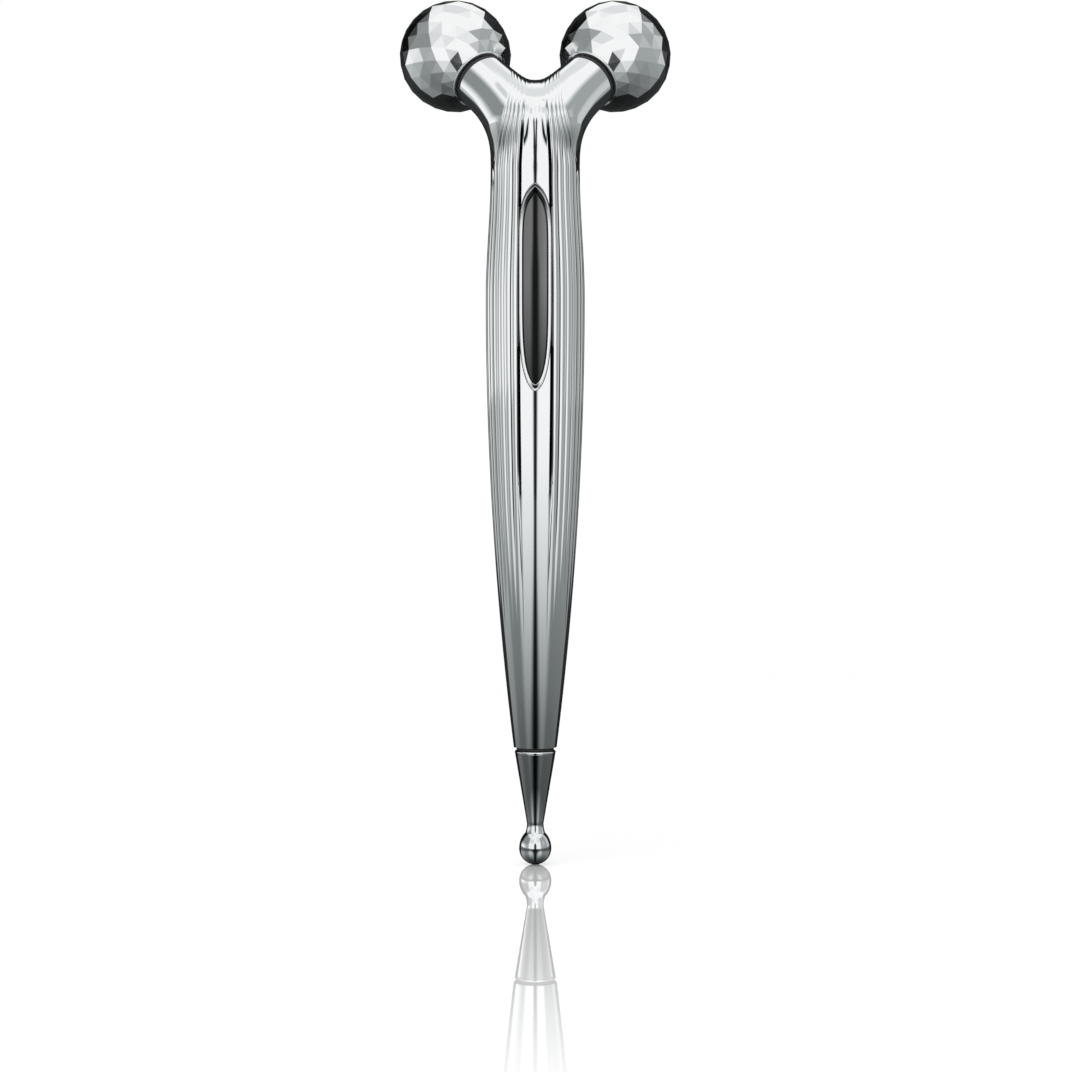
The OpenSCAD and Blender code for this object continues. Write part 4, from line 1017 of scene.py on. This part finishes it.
def stageSheet(name, grid, shade, material):
    # a stage piece that only reflections see, with a cool grey where it is dark
    obj = makeGrid(name, grid)
    colour = np.stack([shade * (0.9 + 0.1 * shade), shade * (0.985 + 0.015 * shade), shade,
                       np.ones_like(shade)], axis=-1)
    paintPoints(obj, "shade", "FLOAT_COLOR", colour)
    coverWith(obj, material)
    obj.visible_camera = obj.visible_diffuse = obj.visible_shadow = False
    obj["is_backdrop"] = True


glow = emissionMaterial("roomGlow")
azimuth, elevation = np.meshgrid(np.linspace(-180, 180, 361),
                                 np.linspace(studio["lowest"], 90, 95))
az, el = np.radians(azimuth), np.radians(elevation)
room = studio["radius"] * xyz(np.sin(az) * np.cos(el), -np.cos(az) * np.cos(el), np.sin(el))
stageSheet("studioRoom", room + [0, 0, studio["centreZ"]], roomShade(azimuth, elevation), glow)

distance = np.concatenate([np.linspace(0, 1, 60)[:-1] ** 2 * table["near"], [table["near"]],
                           table["rings"]])
radius, turn = np.meshgrid(distance, np.linspace(-180, 180, 361), indexing="ij")
sheet = xyz(radius * np.sin(np.radians(turn)), -radius * np.cos(np.radians(turn)), studio["tableZ"])
stageSheet("studioTable", sheet, tableTone(radius, turn), glow)

across, high = np.meshgrid(np.linspace(-1, 1, 81) * studio["boardHalf"],
                           np.linspace(studio["tableZ"], sum(studio["boardFade"]), 64))
stageSheet("studioBoard", xyz(across, -studio["boardAt"], high), boardTone(across, high), glow)


def floorMaterial():
    # pale floor: a clear coat that mirrors near the foot and fades outwards, and a soft outer edge
    material, tree, shader, marks = startMaterial("paleFloor", surfaceGrain, ground["grain"])
    place = tree.nodes["Texture Coordinate"].outputs["Object"]
    far = addNode(tree, "ShaderNodeVectorMath", {0: place}, operation="LENGTH").outputs["Value"]
    mirror = rangeNode(tree, far, 1.0, 0.0, *(d * mm for d in ground["mirrorFade"]))
    seen = tree.nodes.new("ShaderNodeLightPath").outputs["Is Camera Ray"]
    fillInputs(shader, {
        "Emission Strength": rangeNode(tree, seen, 0.0, ground["glow"]), "Coat Weight": mirror,
        "Alpha": rangeNode(tree, far, 1.0, 0.0, ground["fadeFrom"] * mm,
                           ground["radius"] * mm * ground["fadeShare"]),
        "Base Color": colourNode(tree, marks["Patch"], ground["dark"], ground["light"]),
        "Metallic": mathNode(tree, "MULTIPLY", mirror, ground["mirrorMore"]),
        **ground["shader"]})
    return material


radius, turn = np.meshgrid(np.linspace(0, ground["radius"], 30), np.linspace(0, 2 * np.pi, 97),
                           indexing="ij")
floor = makeGrid("paleFloor", ringed(radius, turn, 0))
finishMesh(floor)
coverWith(floor, floorMaterial())
floor.visible_glossy = False
floor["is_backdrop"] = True

world = bpy.data.worlds.new("softRoom")
world.use_nodes = True
tree = world.node_tree
tree.nodes.clear()
ray = tree.nodes.new("ShaderNodeLightPath").outputs
seen = mathNode(tree, "MAXIMUM", ray["Is Camera Ray"], ray["Is Glossy Ray"])
seen = mathNode(tree, "MAXIMUM", seen, ray["Is Transmission Ray"])
backdrop = addNode(tree, "ShaderNodeBackground", {
    "Color": (1, 1, 1, 1), "Strength": rangeNode(tree, seen, lamp["roomLight"], 1.0)})
addNode(tree, "ShaderNodeOutputWorld", {"Surface": backdrop.outputs["Background"]})
bpy.context.scene.world = world

softLamp = bpy.data.objects.new("softLamp", bpy.data.lights.new("softLamp", "AREA"))
softLamp.data.energy, softLamp.data.size = lamp["power"], lamp["size"]
softLamp.data.color = (1.0, 1.0, 1.0)
softLamp.location = lamp["place"]
softLamp.rotation_euler = (math.radians(lamp["tilt"]), 0, math.radians(lamp["turn"]))
softLamp.visible_glossy = False
bpy.context.scene.collection.objects.link(softLamp)

# Camera at the height of the handle's middle, looking level along +Y.
view = {"distance": 450.0, "height": 75.0, "lens": 93.05, "shiftX": 0.0007, "shiftY": -0.1246}
camera = bpy.data.objects.new("camera", bpy.data.cameras.new("camera"))
camera.location = (0, -view["distance"] * mm, view["height"] * mm)
camera.rotation_euler = (math.radians(90), 0, 0)
camera.data.sensor_width, camera.data.lens = 36.0, view["lens"]
camera.data.shift_x, camera.data.shift_y = view["shiftX"], view["shiftY"]
camera.data.clip_start, camera.data.clip_end = 0.01, 20.0
bpy.context.scene.collection.objects.link(camera)
bpy.context.scene.camera = camera
bpy.context.scene.view_settings.view_transform = "Standard"

low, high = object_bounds()
print("stage: studio and camera")
